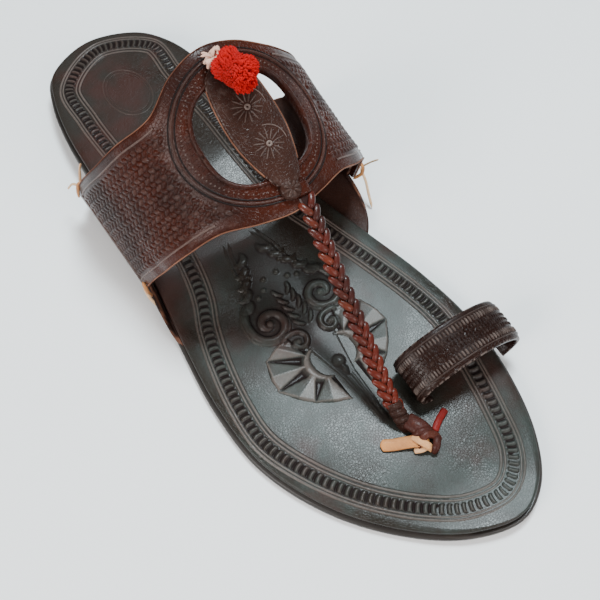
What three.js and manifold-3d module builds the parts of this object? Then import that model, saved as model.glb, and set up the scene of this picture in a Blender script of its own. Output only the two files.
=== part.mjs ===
// Kolhapuri sandal, right shoe. Millimetres, +Z up, toe towards +Y, outer (lateral) side towards +X.
// The origin is on the ground at the middle of the shoe's box.
import * as THREE from 'three';
import Module from 'manifold-3d';

// Sizes of the shoe.
const LENGTH = 270;
const BALL_WIDTH = 98.5;
const INSTEP_HEIGHT = 85.5;
const LIFT_HEIGHT = 7;
const TOE_SPRING = 2;

// Leather thicknesses and fits.
const OUTSOLE_THICK = 3;
const INSOLE_THICK = 2.5;
const INSOLE_INSET = 1.6;
const FLAP_THICK = 1.5;
const BAND_WALL = 2;
const GAP = 0.3;

// Sole plan: share of the length from heel to toe, and the width on each side as a share of the ball width.
const SOLE_PLAN = [
  { at: 0.03, medial: 0.183, lateral: 0.261 },
  { at: 0.08, medial: 0.283, lateral: 0.330 },
  { at: 0.15, medial: 0.331, lateral: 0.373 },
  { at: 0.25, medial: 0.337, lateral: 0.397 },
  { at: 0.35, medial: 0.330, lateral: 0.417 },
  { at: 0.45, medial: 0.350, lateral: 0.447 },
  { at: 0.55, medial: 0.406, lateral: 0.492 },
  { at: 0.65, medial: 0.463, lateral: 0.526 },
  { at: 0.75, medial: 0.486, lateral: 0.514 },
  { at: 0.85, medial: 0.448, lateral: 0.406 },
  { at: 0.93, medial: 0.366, lateral: 0.236 },
  { at: 0.98, medial: 0.255, lateral: 0.060 },
];
const HEEL_TIP_SIDE = 0.04;
const TOE_TIP_SIDE = -0.12;

// Waist of the sole: it leaves the heel lift and reaches the ground.
const LIFT_END = 0.27;
const WAIST_START = 0.30;
const WAIST_END = 0.47;
const SPRING_START = 0.91;

// Instep band: arch half width, its side shift, its slope from rear to front, and the height of its foot.
const ARCH_HALF = 47.5;
const ARCH_SIDE = -2;
const ARCH_SLOPE = 0.54;
const ARCH_MIDDLE = 0.374;
const BAND_FOOT = 3;
// Rear and front edge of the band as shares of the length, by angle round the arch (0 inner foot, 180 outer foot).
const BAND_EDGES = [
  { angle: 0, rear: 0.292, front: 0.470 },
  { angle: 15, rear: 0.330, front: 0.487 },
  { angle: 45, rear: 0.370, front: 0.530 },
  { angle: 60, rear: 0.375, front: 0.541 },
  { angle: 75, rear: 0.369, front: 0.556 },
  { angle: 90, rear: 0.366, front: 0.564 },
  { angle: 105, rear: 0.373, front: 0.553 },
  { angle: 120, rear: 0.385, front: 0.532 },
  { angle: 138, rear: 0.363, front: 0.514 },
  { angle: 155, rear: 0.333, front: 0.492 },
  { angle: 180, rear: 0.266, front: 0.448 },
];
const BAND_STEPS = 8;
const ARCH_STEPS = 36;

// Medallion on the top of the band: the oval with its two openings, the rim, the ridge and the leaf.
const OVAL_LONG = 18;
const OVAL_WIDE = 18.5;
const OVAL_SIDE = -5;
const RIM_WIDTH = 1.6;
const RIM_HEIGHT = 0.7;
const RIDGE_LONG = 25;
const RIDGE_WIDE = 25.5;
const RIDGE_WIDTH = 1.4;
const RIDGE_HEIGHT = 0.6;
const LEAF_HEIGHT = 2.4;
const LEAF = [
  { along: -23, half: 3.5 },
  { along: -21, half: 6 },
  { along: -16, half: 8 },
  { along: -6, half: 9.2 },
  { along: 4, half: 9 },
  { along: 12, half: 7.4 },
  { along: 18, half: 5.6 },
  { along: 23.5, half: 4.2 },
];

// Braided strap from the front of the band to the toe post: share of the length, side and height.
const BRAID_PATH = [
  { at: 0.5400, side: -7.6, height: 62.5 },
  { at: 0.5620, side: -6.9, height: 59.4 },
  { at: 0.6000, side: -5.2, height: 52.6 },
  { at: 0.6600, side: -3.2, height: 39.9 },
  { at: 0.7200, side: -1.2, height: 27.4 },
  { at: 0.7750, side: 0.6, height: 16.4 },
  { at: 0.8080, side: 0.6, height: 9.6 },
  { at: 0.8230, side: -0.4, height: 3.9 },
];
const BRAID_WIDTH = 6;
const BRAID_THICK = 3.2;
const BRAID_PITCH = 4.4;
const BRAID_RISE = 0.35;
const BRAID_STATIONS = 52;

// Toe ring: an arched band for the big toe.
const RING_REAR = 0.750;
const RING_FRONT = 0.811;
const RING_SIDE = -29.8;
const RING_HALF = 21.2;
const RING_CENTRE = 14;
const RING_RISE = 11.5;
const RING_SKEW = 2.6;
const RING_LEAN = 1.2;
const RING_LEG_IN = 1.2;
const RING_TURN = 34;
const RING_WALL = 1.8;

// Pompom and thread knot on the rear end of the leaf.
const POMPOM_RADIUS = 7;
const POMPOM_LOCK = 2.4;
const POMPOM_LOCKS = 56;
const POMPOM_SIDE = -6.5;
const POMPOM_AT = 0.424;
const POMPOM_RISE = 11.4;
const TIE_SIDE = -3.5;
const TIE_AT = 0.3935;
const TIE_RISE = 5.2;
const TIE_END = 5;

const wasm = await Module();
wasm.setup();
const { Manifold, CrossSection } = wasm;

const group = new THREE.Group();
group.name = 'kolhapuri_sandal';

// Closed body from points and triangles.
function solid(points, triangles) {
  const vertProperties = new Float32Array(points.flat());
  const triVerts = new Uint32Array(triangles.flat());
  const mesh = new wasm.Mesh({ numProp: 3, vertProperties, triVerts });
  mesh.merge();
  return new Manifold(mesh);
}

// A named piece with its own material.
function addPiece(name, body, color) {
  const mesh = body.getMesh();
  const geometry = new THREE.BufferGeometry();
  geometry.setAttribute('position', new THREE.BufferAttribute(new Float32Array(mesh.vertProperties), 3));
  geometry.setIndex(new THREE.BufferAttribute(new Uint32Array(mesh.triVerts), 1));
  geometry.computeVertexNormals();
  const material = new THREE.MeshStandardMaterial({ name, color, roughness: 0.6, side: THREE.FrontSide });
  const piece = new THREE.Mesh(geometry, material);
  piece.name = name;
  group.add(piece);
}

// Puts the middle of the shoe's box over the origin and its lowest point on the ground.
function centre() {
  const bounds = new THREE.Box3().setFromObject(group);
  const middle = bounds.getCenter(new THREE.Vector3());
  group.children.forEach((piece) => piece.geometry.translate(-middle.x, -middle.y, -bounds.min.z));
}

// Smooth value between the rows of a table, by one of its columns.
function read(table, key, column, value) {
  let i = 0;
  while (i < table.length - 2 && value > table[i + 1][key]) {
    i += 1;
  }
  const a = table[Math.max(i - 1, 0)];
  const b = table[i];
  const c = table[i + 1];
  const d = table[Math.min(i + 2, table.length - 1)];
  const span = c[key] - b[key];
  const t = THREE.MathUtils.clamp((value - b[key]) / span, 0, 1);
  const m0 = (c[column] - a[column]) / (c[key] - a[key]) * span;
  const m1 = (d[column] - b[column]) / (d[key] - b[key]) * span;
  const t2 = t * t;
  const t3 = t2 * t;
  const start = (2 * t3 - 3 * t2 + 1) * b[column] + (t3 - 2 * t2 + t) * m0;
  return start + (-2 * t3 + 3 * t2) * c[column] + (t3 - t2) * m1;
}

// Closed sections joined one after the other, with flat ends.
function loft(sections) {
  const n = sections[0].length;
  const points = sections.flat();
  const triangles = [];
  for (let i = 0; i < sections.length - 1; i += 1) {
    for (let j = 0; j < n; j += 1) {
      const a = i * n + j;
      const b = i * n + (j + 1) % n;
      triangles.push([a, b, b + n], [a, b + n, a + n]);
    }
  }
  const last = (sections.length - 1) * n;
  for (let j = 0; j < n / 2 - 1; j += 1) {
    const a = j;
    const b = j + 1;
    const c = n - 2 - j;
    const d = n - 1 - j;
    triangles.push([a, c, b], [a, d, c]);
    triangles.push([last + a, last + b, last + c], [last + a, last + c, last + d]);
  }
  return outward(points, triangles);
}

// Turns a body right side out where its sections run the other way.
function outward(points, triangles) {
  let volume = 0;
  for (const [a, b, c] of triangles) {
    const [p, q, r] = [points[a], points[b], points[c]];
    volume += p[0] * (q[1] * r[2] - q[2] * r[1]);
    volume += p[1] * (q[2] * r[0] - q[0] * r[2]);
    volume += p[2] * (q[0] * r[1] - q[1] * r[0]);
  }
  return solid(points, volume > 0 ? triangles : triangles.map(([a, b, c]) => [a, c, b]));
}

// Sole.

const rearY = -LENGTH / 2;
const shareToY = (share) => rearY + share * LENGTH;
const yToShare = (y) => (y - rearY) / LENGTH;

const planCurve = new THREE.CatmullRomCurve3([
  new THREE.Vector3(HEEL_TIP_SIDE * BALL_WIDTH, shareToY(0), 0),
  ...SOLE_PLAN.map((row) => new THREE.Vector3(row.lateral * BALL_WIDTH, shareToY(row.at), 0)),
  new THREE.Vector3(TOE_TIP_SIDE * BALL_WIDTH, shareToY(1), 0),
  ...SOLE_PLAN.toReversed().map((row) => new THREE.Vector3(-row.medial * BALL_WIDTH, shareToY(row.at), 0)),
], true, 'centripetal');
const planPoints = planCurve.getPoints(1400);

// Side position of the sole's edge, side +1 lateral and -1 medial.
function edgeAt(y, side) {
  let best = 0;
  for (let i = 0; i < planPoints.length - 1; i += 1) {
    const a = planPoints[i];
    const b = planPoints[i + 1];
    const onSide = side > 0 ? b.y >= a.y : b.y < a.y;
    const spans = (a.y - y) * (b.y - y) <= 0 && a.y !== b.y;
    if (onSide && spans) {
      best = a.x + (b.x - a.x) * (y - a.y) / (b.y - a.y);
    }
  }
  return best;
}

// Height of the underside of the outsole.
function groundLine(y) {
  const share = yToShare(y);
  const waist = 1 - THREE.MathUtils.smoothstep(share, WAIST_START, WAIST_END);
  const toe = THREE.MathUtils.clamp((share - SPRING_START) / (1 - SPRING_START), 0, 1);
  return LIFT_HEIGHT * waist + TOE_SPRING * toe * toe;
}

const outsoleTop = (y) => groundLine(y) + OUTSOLE_THICK;
const insoleBottom = (y) => outsoleTop(y) + GAP;
const insoleTop = (y) => insoleBottom(y) + INSOLE_THICK;

const SOLE_STATIONS = 40;
const soleYs = Array.from({ length: SOLE_STATIONS + 1 }, (_, i) => {
  const t = i / SOLE_STATIONS;
  const ease = 0.5 - 0.5 * Math.cos(Math.PI * t);
  return shareToY(0.9 * ease + 0.1 * t);
});
const planMinY = Math.min(...planPoints.map((p) => p.y));
const planMaxY = Math.max(...planPoints.map((p) => p.y));
const stationY = (i) => THREE.MathUtils.clamp(soleYs[i], planMinY, planMaxY);

// The plan as one ring: up the lateral side and back down the medial side, with its outward direction.
const planRing = [];
for (let i = 0; i <= SOLE_STATIONS; i += 1) {
  const y = stationY(i);
  planRing.push([edgeAt(y, 1), y]);
}
for (let i = SOLE_STATIONS - 1; i > 0; i -= 1) {
  const y = stationY(i);
  planRing.push([edgeAt(y, -1), y]);
}
const planNormals = planRing.map((_, i) => {
  const n = planRing.length;
  const a = planRing[(i + n - 1) % n];
  const b = planRing[(i + 1) % n];
  const size = Math.hypot(b[0] - a[0], b[1] - a[1]);
  return [(b[1] - a[1]) / size, -(b[0] - a[0]) / size];
});

// A layer of the sole from a list of rings, each with its inset and its height line.
function layer(rings) {
  const n = planRing.length;
  const points = [];
  const triangles = [];
  for (const ring of rings) {
    planRing.forEach(([x, y], i) => {
      const [nx, ny] = planNormals[i];
      points.push([x - nx * ring.inset, y - ny * ring.inset, ring.height(y)]);
    });
  }
  for (let k = 0; k < rings.length - 1; k += 1) {
    for (let i = 0; i < n; i += 1) {
      const a = k * n + i;
      const b = k * n + (i + 1) % n;
      triangles.push([a, b, b + n], [a, b + n, a + n]);
    }
  }
  const top = (rings.length - 1) * n;
  for (let i = 0; i < n / 2; i += 1) {
    const a = i;
    const b = i + 1;
    const c = (n - i - 1) % n;
    const d = (n - i) % n;
    if (b !== c) {
      triangles.push([a, c, b], [top + a, top + b, top + c]);
    }
    if (a !== d) {
      triangles.push([a, d, c], [top + a, top + c, top + d]);
    }
  }
  return outward(points, triangles);
}

const box = (sx, sy, sz, x, y, z) => Manifold.cube([sx, sy, sz], true).translate([x, y, z]);

// Instep band.

const insideHeight = (y) => insoleTop(y) + BAND_FOOT;
const archTop = (y) => INSTEP_HEIGHT - ARCH_SLOPE * (y - shareToY(ARCH_MIDDLE));

// Point on the middle of the band's leather, lifted by a distance along the outward direction.
function archPoint(y, angle, lift) {
  const a = THREE.MathUtils.degToRad(angle);
  const place = (yy, aa) => {
    const foot = insideHeight(yy);
    return new THREE.Vector3(ARCH_SIDE - ARCH_HALF * Math.cos(aa), yy, foot + (archTop(yy) - foot) * Math.sin(aa));
  };
  const p = place(y, a);
  const alongY = place(y + 0.5, a).sub(place(y - 0.5, a));
  const alongArch = place(y, a + 0.01).sub(place(y, a - 0.01));
  const normal = new THREE.Vector3().crossVectors(alongArch, alongY).normalize();
  if (normal.z < 0 || (Math.abs(normal.z) < 1e-6 && normal.x * Math.cos(a) > 0)) {
    normal.negate();
  }
  return p.addScaledVector(normal, lift);
}

// A patch of the band between two angles and two lifts.
function bandPatch(fromAngle, toAngle, low, high, steps, grow) {
  const rows = [];
  for (let j = 0; j <= steps; j += 1) {
    const angle = fromAngle + (toAngle - fromAngle) * j / steps;
    const rear = shareToY(read(BAND_EDGES, 'angle', 'rear', angle)) - grow;
    const front = shareToY(read(BAND_EDGES, 'angle', 'front', angle)) + grow;
    const section = [];
    for (let i = 0; i <= BAND_STEPS; i += 1) {
      section.push(archPoint(rear + (front - rear) * i / BAND_STEPS, angle, high).toArray());
    }
    for (let i = BAND_STEPS; i >= 0; i -= 1) {
      section.push(archPoint(rear + (front - rear) * i / BAND_STEPS, angle, low).toArray());
    }
    rows.push(section);
  }
  return loft(rows);
}

// Frame on the top of the band: the medallion's middle, its slope and its upward direction.
const medalY = shareToY(0.463);
const slope = Math.atan(ARCH_SLOPE);

// A column standing square on the band's top, from a flat outline (side, along).
function column(outline) {
  const depth = 30;
  return new CrossSection([outline]).extrude(depth)
    .translate([0, 0, -depth / 2])
    .rotate([-THREE.MathUtils.radToDeg(slope), 0, 0])
    .translate([OVAL_SIDE, medalY, archTop(medalY)]);
}

// Rounded oval outline, blunter than an ellipse.
function ovalOutline(wide, long, power, count) {
  return Array.from({ length: count }, (_, i) => {
    const t = 2 * Math.PI * i / count;
    const c = Math.cos(t);
    const s = Math.sin(t);
    return [wide * Math.sign(c) * Math.abs(c) ** (2 / power), long * Math.sign(s) * Math.abs(s) ** (2 / power)];
  });
}

function leafOutline(grow) {
  const steps = 16;
  const first = LEAF[0].along;
  const last = LEAF[LEAF.length - 1].along;
  const side = Array.from({ length: steps + 1 }, (_, i) => {
    const along = first + (last - first) * i / steps;
    return [read(LEAF, 'along', 'half', along) + grow, along];
  });
  return [...side, ...side.toReversed().map(([x, y]) => [-x, y])];
}

// Straps.

// Section ring across a strap, rounded, with its raised strands.
function strapSection(point, across, out, wide, thick, strand) {
  const count = 12;
  return Array.from({ length: count }, (_, i) => {
    const t = 2 * Math.PI * (i + 0.5) / count;
    const c = Math.cos(t);
    const s = Math.sin(t);
    const u = wide / 2 * Math.sign(c) * Math.abs(c) ** 0.6;
    const v = thick / 2 * Math.sign(s) * Math.abs(s) ** 0.6;
    const rise = strand(u / wide * 2);
    return point.clone().addScaledVector(across, u).addScaledVector(out, v + Math.sign(s) * rise).toArray();
  });
}

function braid() {
  const curve = new THREE.CatmullRomCurve3(
    BRAID_PATH.map((row) => new THREE.Vector3(row.side, shareToY(row.at), row.height)));
  const length = curve.getLength();
  const sections = [];
  for (let i = 0; i <= BRAID_STATIONS; i += 1) {
    const t = i / BRAID_STATIONS;
    const point = curve.getPointAt(t);
    const along = curve.getTangentAt(t);
    const across = new THREE.Vector3(1, 0, 0).addScaledVector(along, -along.x).normalize();
    const out = new THREE.Vector3().crossVectors(across, along).normalize();
    const plain = THREE.MathUtils.smoothstep(t, 0.9, 0.97);
    const narrow = 1 - 0.2 * plain;
    const rise = BRAID_RISE * THREE.MathUtils.smoothstep(t, 0.1, 0.14) * (1 - plain);
    const strand = (u) => rise *
      Math.cos(2 * Math.PI * (t * length / BRAID_PITCH + 0.55 * Math.abs(u)));
    sections.push(strapSection(point, across, out, BRAID_WIDTH * narrow, BRAID_THICK * narrow, strand));
  }
  return loft(sections);
}

// How far the toe ring is turned towards the toe at one side place: none at its lateral foot.
function ringSkew(x) {
  return RING_SKEW * (1 + (RING_SIDE - x) / RING_HALF) / 2;
}

// Loop section of the toe ring in its side and height, with legs that go down into the insole.
function ringSection(y, lean) {
  const steps = 26;
  const middle = [];
  for (let i = 0; i <= steps; i += 1) {
    const angle = THREE.MathUtils.degToRad(-RING_TURN + (180 + 2 * RING_TURN) * i / steps);
    middle.push([RING_SIDE - RING_HALF * Math.cos(angle), RING_CENTRE + RING_RISE * Math.sin(angle) + lean]);
  }
  const foot = insoleBottom(y) + 0.6;
  middle.unshift([middle[0][0] + RING_LEG_IN, foot]);
  middle.push([middle[middle.length - 1][0] - RING_LEG_IN, foot]);
  const side = (lift) => middle.map((p, i) => {
    const a = middle[Math.max(i - 1, 0)];
    const b = middle[Math.min(i + 1, middle.length - 1)];
    const size = Math.hypot(b[0] - a[0], b[1] - a[1]);
    const nx = i === 0 || i === middle.length - 1 ? Math.sign(b[1] - a[1]) * -1 : -(b[1] - a[1]) / size;
    const nz = i === 0 || i === middle.length - 1 ? 0 : (b[0] - a[0]) / size;
    return [p[0] + nx * lift, y + ringSkew(p[0] + nx * lift), p[1] + nz * lift];
  });
  return [...side(RING_WALL / 2), ...side(-RING_WALL / 2).toReversed()];
}

function toeRing() {
  const steps = 4;
  const sections = [];
  for (let i = 0; i <= steps; i += 1) {
    const t = i / steps;
    sections.push(ringSection(shareToY(RING_REAR + (RING_FRONT - RING_REAR) * t), RING_LEAN * (1 - 2 * t)));
  }
  return loft(sections);
}

// Side flap: under the insole, out past its edge, and up inside the band.
const FLAP_BOW = 0.28;
const FLAP_ROWS = [
  { side: 1, rear: 0.245, front: 0.545, top: 22 },
  { side: -1, rear: 0.270, front: 0.555, top: 22 },
];

function flap(row, thick, inner) {
  const stations = 14;
  const lift = -(BAND_WALL / 2 + GAP + FLAP_THICK / 2);
  const turned = (angle) => (row.side > 0 ? 180 - angle : angle);
  const sections = [];
  for (let i = 0; i <= stations; i += 1) {
    const t = i / stations;
    const y = shareToY(row.rear + (row.front - row.rear) * t);
    const edge = edgeAt(y, row.side) * row.side;
    const level = outsoleTop(y) + GAP / 2;
    const onBand = (angle) => {
      const rear = shareToY(read(BAND_EDGES, 'angle', 'rear', turned(angle)));
      const front = shareToY(read(BAND_EDGES, 'angle', 'front', turned(angle)));
      const p = archPoint(rear + 2 + (front - rear - 4) * t, turned(angle), lift);
      return new THREE.Vector3(p.x * row.side, p.y, p.z);
    };
    const low = onBand(0);
    const bow = THREE.MathUtils.lerp(0.5, FLAP_BOW, t);
    const bend = new THREE.QuadraticBezierCurve3(
      new THREE.Vector3(edge - 1.5, y, level),
      new THREE.Vector3(Math.max(edge, low.x) + 0.2, THREE.MathUtils.lerp(y, low.y, bow), level),
      low);
    const middle = [
      new THREE.Vector3(edge - 9 - inner, y, level),
      new THREE.Vector3(edge - 4, y, level),
      ...bend.getPoints(4),
      ...[1, 2, 3].map((k) => onBand(row.top * k / 3)),
    ];
    const side = (offset) => middle.map((p, k) => {
      const a = middle[Math.max(k - 1, 0)];
      const b = middle[Math.min(k + 1, middle.length - 1)];
      const size = Math.hypot(b.x - a.x, b.z - a.z);
      return [(p.x - (b.z - a.z) / size * offset) * row.side, p.y, p.z + (b.x - a.x) / size * offset];
    });
    sections.push([...side(thick / 2), ...side(-thick / 2).toReversed()]);
  }
  return loft(sections);
}

// Pompom.

function pompom(centre) {
  let body = Manifold.sphere(POMPOM_RADIUS, 16);
  const golden = Math.PI * (3 - Math.sqrt(5));
  const locks = [];
  for (let i = 0; i < POMPOM_LOCKS; i += 1) {
    const z = 1 - 2 * (i + 0.5) / POMPOM_LOCKS;
    const turn = THREE.MathUtils.radToDeg(i * golden);
    const tilt = THREE.MathUtils.radToDeg(Math.acos(z));
    const reach = POMPOM_LOCK * (0.8 + 0.2 * Math.sin(i * 2.4));
    locks.push(Manifold.cylinder(reach + 1.5, 1.5, 0.7, 5)
      .translate([0, 0, POMPOM_RADIUS - 1.5])
      .rotate([0, tilt, turn]));
  }
  body = Manifold.union([body, ...locks]);
  return body.translate(centre);
}

// Assembly.

const heelBox = box(200, 200, 60, 0, shareToY(LIFT_END) - 100, 0);
const heelLift = layer([
  { inset: 1.4, height: () => 0 },
  { inset: 0.7, height: () => 0.5 },
  { inset: 0.5, height: () => LIFT_HEIGHT * 0.47 },
  { inset: 1.0, height: () => LIFT_HEIGHT * 0.50 },
  { inset: 0.5, height: () => LIFT_HEIGHT * 0.53 },
  { inset: 0.4, height: () => LIFT_HEIGHT },
]).intersect(heelBox);

const roomLateral = flap(FLAP_ROWS[0], FLAP_THICK + 2 * GAP, 0.5);
const roomMedial = flap(FLAP_ROWS[1], FLAP_THICK + 2 * GAP, 0.5);

const outsole = layer([
  { inset: 1.0, height: (y) => groundLine(y) },
  { inset: 0.2, height: (y) => groundLine(y) + 0.5 },
  { inset: 0, height: (y) => groundLine(y) + OUTSOLE_THICK * 0.5 },
  { inset: 0.1, height: (y) => groundLine(y) + OUTSOLE_THICK * 0.8 },
  { inset: 0.8, height: (y) => outsoleTop(y) },
]);

const insole = layer([
  { inset: INSOLE_INSET + 0.3, height: (y) => insoleBottom(y) },
  { inset: INSOLE_INSET, height: (y) => insoleBottom(y) + 0.6 },
  { inset: INSOLE_INSET, height: (y) => insoleTop(y) - 0.7 },
  { inset: INSOLE_INSET + 0.7, height: (y) => insoleTop(y) },
]);

// A flat lace lying on the insole through the given points.
function lace(places, wide, thick) {
  const level = insoleTop(shareToY(0.82)) + thick * 0.4;
  const curve = new THREE.CatmullRomCurve3(places.map(([x, y]) => new THREE.Vector3(x, y, level)));
  const sections = [];
  for (let i = 0; i <= 8; i += 1) {
    const along = curve.getTangentAt(i / 8);
    const across = new THREE.Vector3(along.y, -along.x, 0).normalize();
    sections.push(strapSection(curve.getPointAt(i / 8), across, new THREE.Vector3(0, 0, 1), wide, thick, () => 0));
  }
  return loft(sections);
}

const braidSlit = box(6.6, 6.4, 12, -0.3, shareToY(0.8215), insoleTop(shareToY(0.82)));
const ringMiddle = shareToY((RING_REAR + RING_FRONT) / 2);
const ringLong = (RING_FRONT - RING_REAR) * LENGTH + 2 * GAP;
const ringFeet = [-1, 1].map((side) => {
  const reach = RING_HALF * Math.cos(THREE.MathUtils.degToRad(RING_TURN)) - RING_LEG_IN;
  const x = RING_SIDE + side * (reach + 0.4);
  return box(2 * RING_WALL, ringLong, 12, x, ringMiddle + ringSkew(x), insoleTop(ringMiddle));
});

const bandBase = bandPatch(0, 180, -BAND_WALL / 2, BAND_WALL / 2, ARCH_STEPS, 0);
const oval = column(ovalOutline(OVAL_WIDE, OVAL_LONG, 2.6, 40));
const leafColumn = column(leafOutline(0));
const rim = column(ovalOutline(OVAL_WIDE + RIM_WIDTH, OVAL_LONG + RIM_WIDTH, 2.6, 40));
const ridgeOuter = column(ovalOutline(RIDGE_WIDE + RIDGE_WIDTH, RIDGE_LONG + RIDGE_WIDTH, 2, 44));
const ridgeInner = column(ovalOutline(RIDGE_WIDE, RIDGE_LONG, 2, 44));
const lifted = (height) => bandPatch(40, 140, BAND_WALL / 2 - 0.4, BAND_WALL / 2 + height, 20, 0);
const rimBody = lifted(RIM_HEIGHT).intersect(rim).subtract(oval);
const ridgeBody = lifted(RIDGE_HEIGHT).intersect(ridgeOuter.subtract(ridgeInner));
const leafBody = lifted(LEAF_HEIGHT).intersect(leafColumn);
const upper = Manifold.union([
  bandBase.subtract(oval.subtract(leafColumn)),
  rimBody,
  ridgeBody,
  leafBody,
  braid(),
]);

const floor = insoleTop(shareToY(0.82));
const knotY = shareToY(0.853);
const knotBall = Manifold.sphere(1, 14).scale([4.2, 3.8, 3]).translate([-3.2, knotY, floor + 1.6]);
const knotTail = lace([[9.5, shareToY(0.822)], [5, shareToY(0.832)], [-2, shareToY(0.848)]], 4.2, 1.5);
const knotEnd = lace([[-9, shareToY(0.822)], [-6.5, shareToY(0.834)], [-3.5, knotY]], 3.6, 1.8);
const aboveFloor = box(60, 60, 20, 0, knotY, floor + 10);
const knot = Manifold.union([knotBall, knotTail, knotEnd]).intersect(aboveFloor);

const pompomY = shareToY(POMPOM_AT);
const pompomCentre = [POMPOM_SIDE, pompomY, archTop(pompomY) + POMPOM_RISE];
const upward = [0, Math.sin(slope), Math.cos(slope)];
const leafLevel = pompomY * upward[1] + archTop(pompomY) * upward[2] + BAND_WALL / 2 + LEAF_HEIGHT + GAP;
const pompomBody = pompom(pompomCentre).trimByPlane(upward, leafLevel);
const tieY = shareToY(TIE_AT);
const tie = Manifold.union([
  Manifold.sphere(1, 14).scale([3.4, 2.6, 2.6]),
  Manifold.cylinder(TIE_END, 1.2, 0.8, 8).rotate([60, 0, 60]),
  Manifold.cylinder(TIE_END, 1.2, 0.8, 8).rotate([75, 0, 150]),
]).translate([TIE_SIDE, tieY, archTop(tieY) + TIE_RISE]).trimByPlane(upward, leafLevel).subtract(pompom(pompomCentre));

addPiece('heel_lift', heelLift, 0x3a2d25);
addPiece('outsole', outsole.subtract(roomLateral).subtract(roomMedial), 0x3f3028);
addPiece('insole', insole.subtract(roomLateral).subtract(roomMedial)
  .subtract(braidSlit).subtract(ringFeet[0]).subtract(ringFeet[1]), 0x44352d);
addPiece('ear_flap_lateral', flap(FLAP_ROWS[0], FLAP_THICK, 0), 0x4a3128);
addPiece('ear_flap_medial', flap(FLAP_ROWS[1], FLAP_THICK, 0), 0x4a3128);
addPiece('upper', upper, 0x5a2f24);
addPiece('toe_ring', toeRing(), 0x4a2c24);
addPiece('thong_knot', knot, 0xcf9a5c);
addPiece('pompom', pompomBody, 0xd01818);
addPiece('pompom_tie', tie, 0xe6cfc0);
centre();

export default group;
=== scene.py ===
"""Looks of a kolhapuri sandal, right shoe: embossed leather, braided strap, toe ring and pompom."""
import math
from collections import namedtuple

import bmesh
import bpy
import numpy as np
from bpy.props import FloatProperty, FloatVectorProperty, IntProperty, PointerProperty
from bpy.types import Operator, Panel, PropertyGroup
from mathutils import Matrix, Vector


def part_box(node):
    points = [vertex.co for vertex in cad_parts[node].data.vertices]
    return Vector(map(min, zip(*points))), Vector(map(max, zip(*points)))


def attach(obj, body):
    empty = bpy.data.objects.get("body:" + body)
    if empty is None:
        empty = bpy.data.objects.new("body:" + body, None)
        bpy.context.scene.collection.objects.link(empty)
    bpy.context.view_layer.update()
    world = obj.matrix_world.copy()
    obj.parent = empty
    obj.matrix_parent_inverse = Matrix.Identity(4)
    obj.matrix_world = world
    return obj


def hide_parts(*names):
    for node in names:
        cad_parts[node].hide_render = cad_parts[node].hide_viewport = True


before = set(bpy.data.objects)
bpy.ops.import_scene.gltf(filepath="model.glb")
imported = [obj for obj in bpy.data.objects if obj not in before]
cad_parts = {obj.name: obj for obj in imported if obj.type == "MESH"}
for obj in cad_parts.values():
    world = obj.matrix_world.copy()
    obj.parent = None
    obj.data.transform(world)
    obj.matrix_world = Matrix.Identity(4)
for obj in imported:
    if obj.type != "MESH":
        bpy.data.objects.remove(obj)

bl_info = {
    "name": "Kolhapuri sandal",
    "version": (1, 0, 0),
    "blender": (4, 5, 0),
    "location": "View3D > Sidebar > Sandal",
    "description": "Dresses the right shoe of a pair of kolhapuri sandals",
    "category": "Add Mesh",
}

MM = 0.001

Plan = namedtuple("Plan", "at medial lateral")
SOLE_PLAN = [
    Plan(0.03, 0.183, 0.261),
    Plan(0.08, 0.283, 0.330),
    Plan(0.15, 0.331, 0.373),
    Plan(0.25, 0.337, 0.397),
    Plan(0.35, 0.330, 0.417),
    Plan(0.45, 0.350, 0.447),
    Plan(0.55, 0.406, 0.492),
    Plan(0.65, 0.463, 0.526),
    Plan(0.75, 0.486, 0.514),
    Plan(0.85, 0.448, 0.406),
    Plan(0.93, 0.366, 0.236),
    Plan(0.98, 0.255, 0.060),
]
Tip = namedtuple("Tip", "at side")
SOLE_HEEL = Tip(0, 0.04)
SOLE_TOE = Tip(1, -0.12)
OUTLINE_STEPS = 60
LIFT_END = 0.27
WAIST_START = 0.30
WAIST_END = 0.47
SPRING_START = 0.91

ARCH_SIDE = -2.0
BAND_SLOPE = 0.54
BAND_TOP_AT = 0.374
BAND_FOOT = 3.0
MEDAL_SIDE = -5.0
MEDAL_AT = 0.463
MEDAL_DEPTH = 40.0
MEDAL_HALVINGS = 26

Edge = namedtuple("Edge", "angle rear front")
BAND_EDGES = [
    Edge(0, 0.292, 0.470),
    Edge(15, 0.330, 0.487),
    Edge(45, 0.370, 0.530),
    Edge(60, 0.375, 0.541),
    Edge(75, 0.369, 0.556),
    Edge(90, 0.366, 0.564),
    Edge(105, 0.373, 0.553),
    Edge(120, 0.385, 0.532),
    Edge(138, 0.363, 0.514),
    Edge(155, 0.333, 0.492),
    Edge(180, 0.266, 0.448),
]

LeafRow = namedtuple("LeafRow", "along half")
LEAF = [
    LeafRow(-23, 3.5),
    LeafRow(-21, 6),
    LeafRow(-16, 8),
    LeafRow(-6, 9.2),
    LeafRow(4, 9),
    LeafRow(12, 7.4),
    LeafRow(18, 5.6),
    LeafRow(23.5, 4.2),
]

BraidRow = namedtuple("BraidRow", "at side height")
BRAID_PATH = [
    BraidRow(0.5400, -7.6, 62.5),
    BraidRow(0.5620, -6.9, 59.4),
    BraidRow(0.6000, -5.2, 52.6),
    BraidRow(0.6600, -3.2, 39.9),
    BraidRow(0.7200, -1.2, 27.4),
    BraidRow(0.7750, 0.6, 16.4),
    BraidRow(0.8080, 0.6, 9.6),
    BraidRow(0.8230, -0.4, 3.9),
]

Flap = namedtuple("Flap", "side rear front top")
FLAP_BOW = 0.28
FLAPS = {
    "ear_flap_lateral": Flap(1, 0.245, 0.545, 22),
    "ear_flap_medial": Flap(-1, 0.270, 0.555, 22),
}

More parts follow.
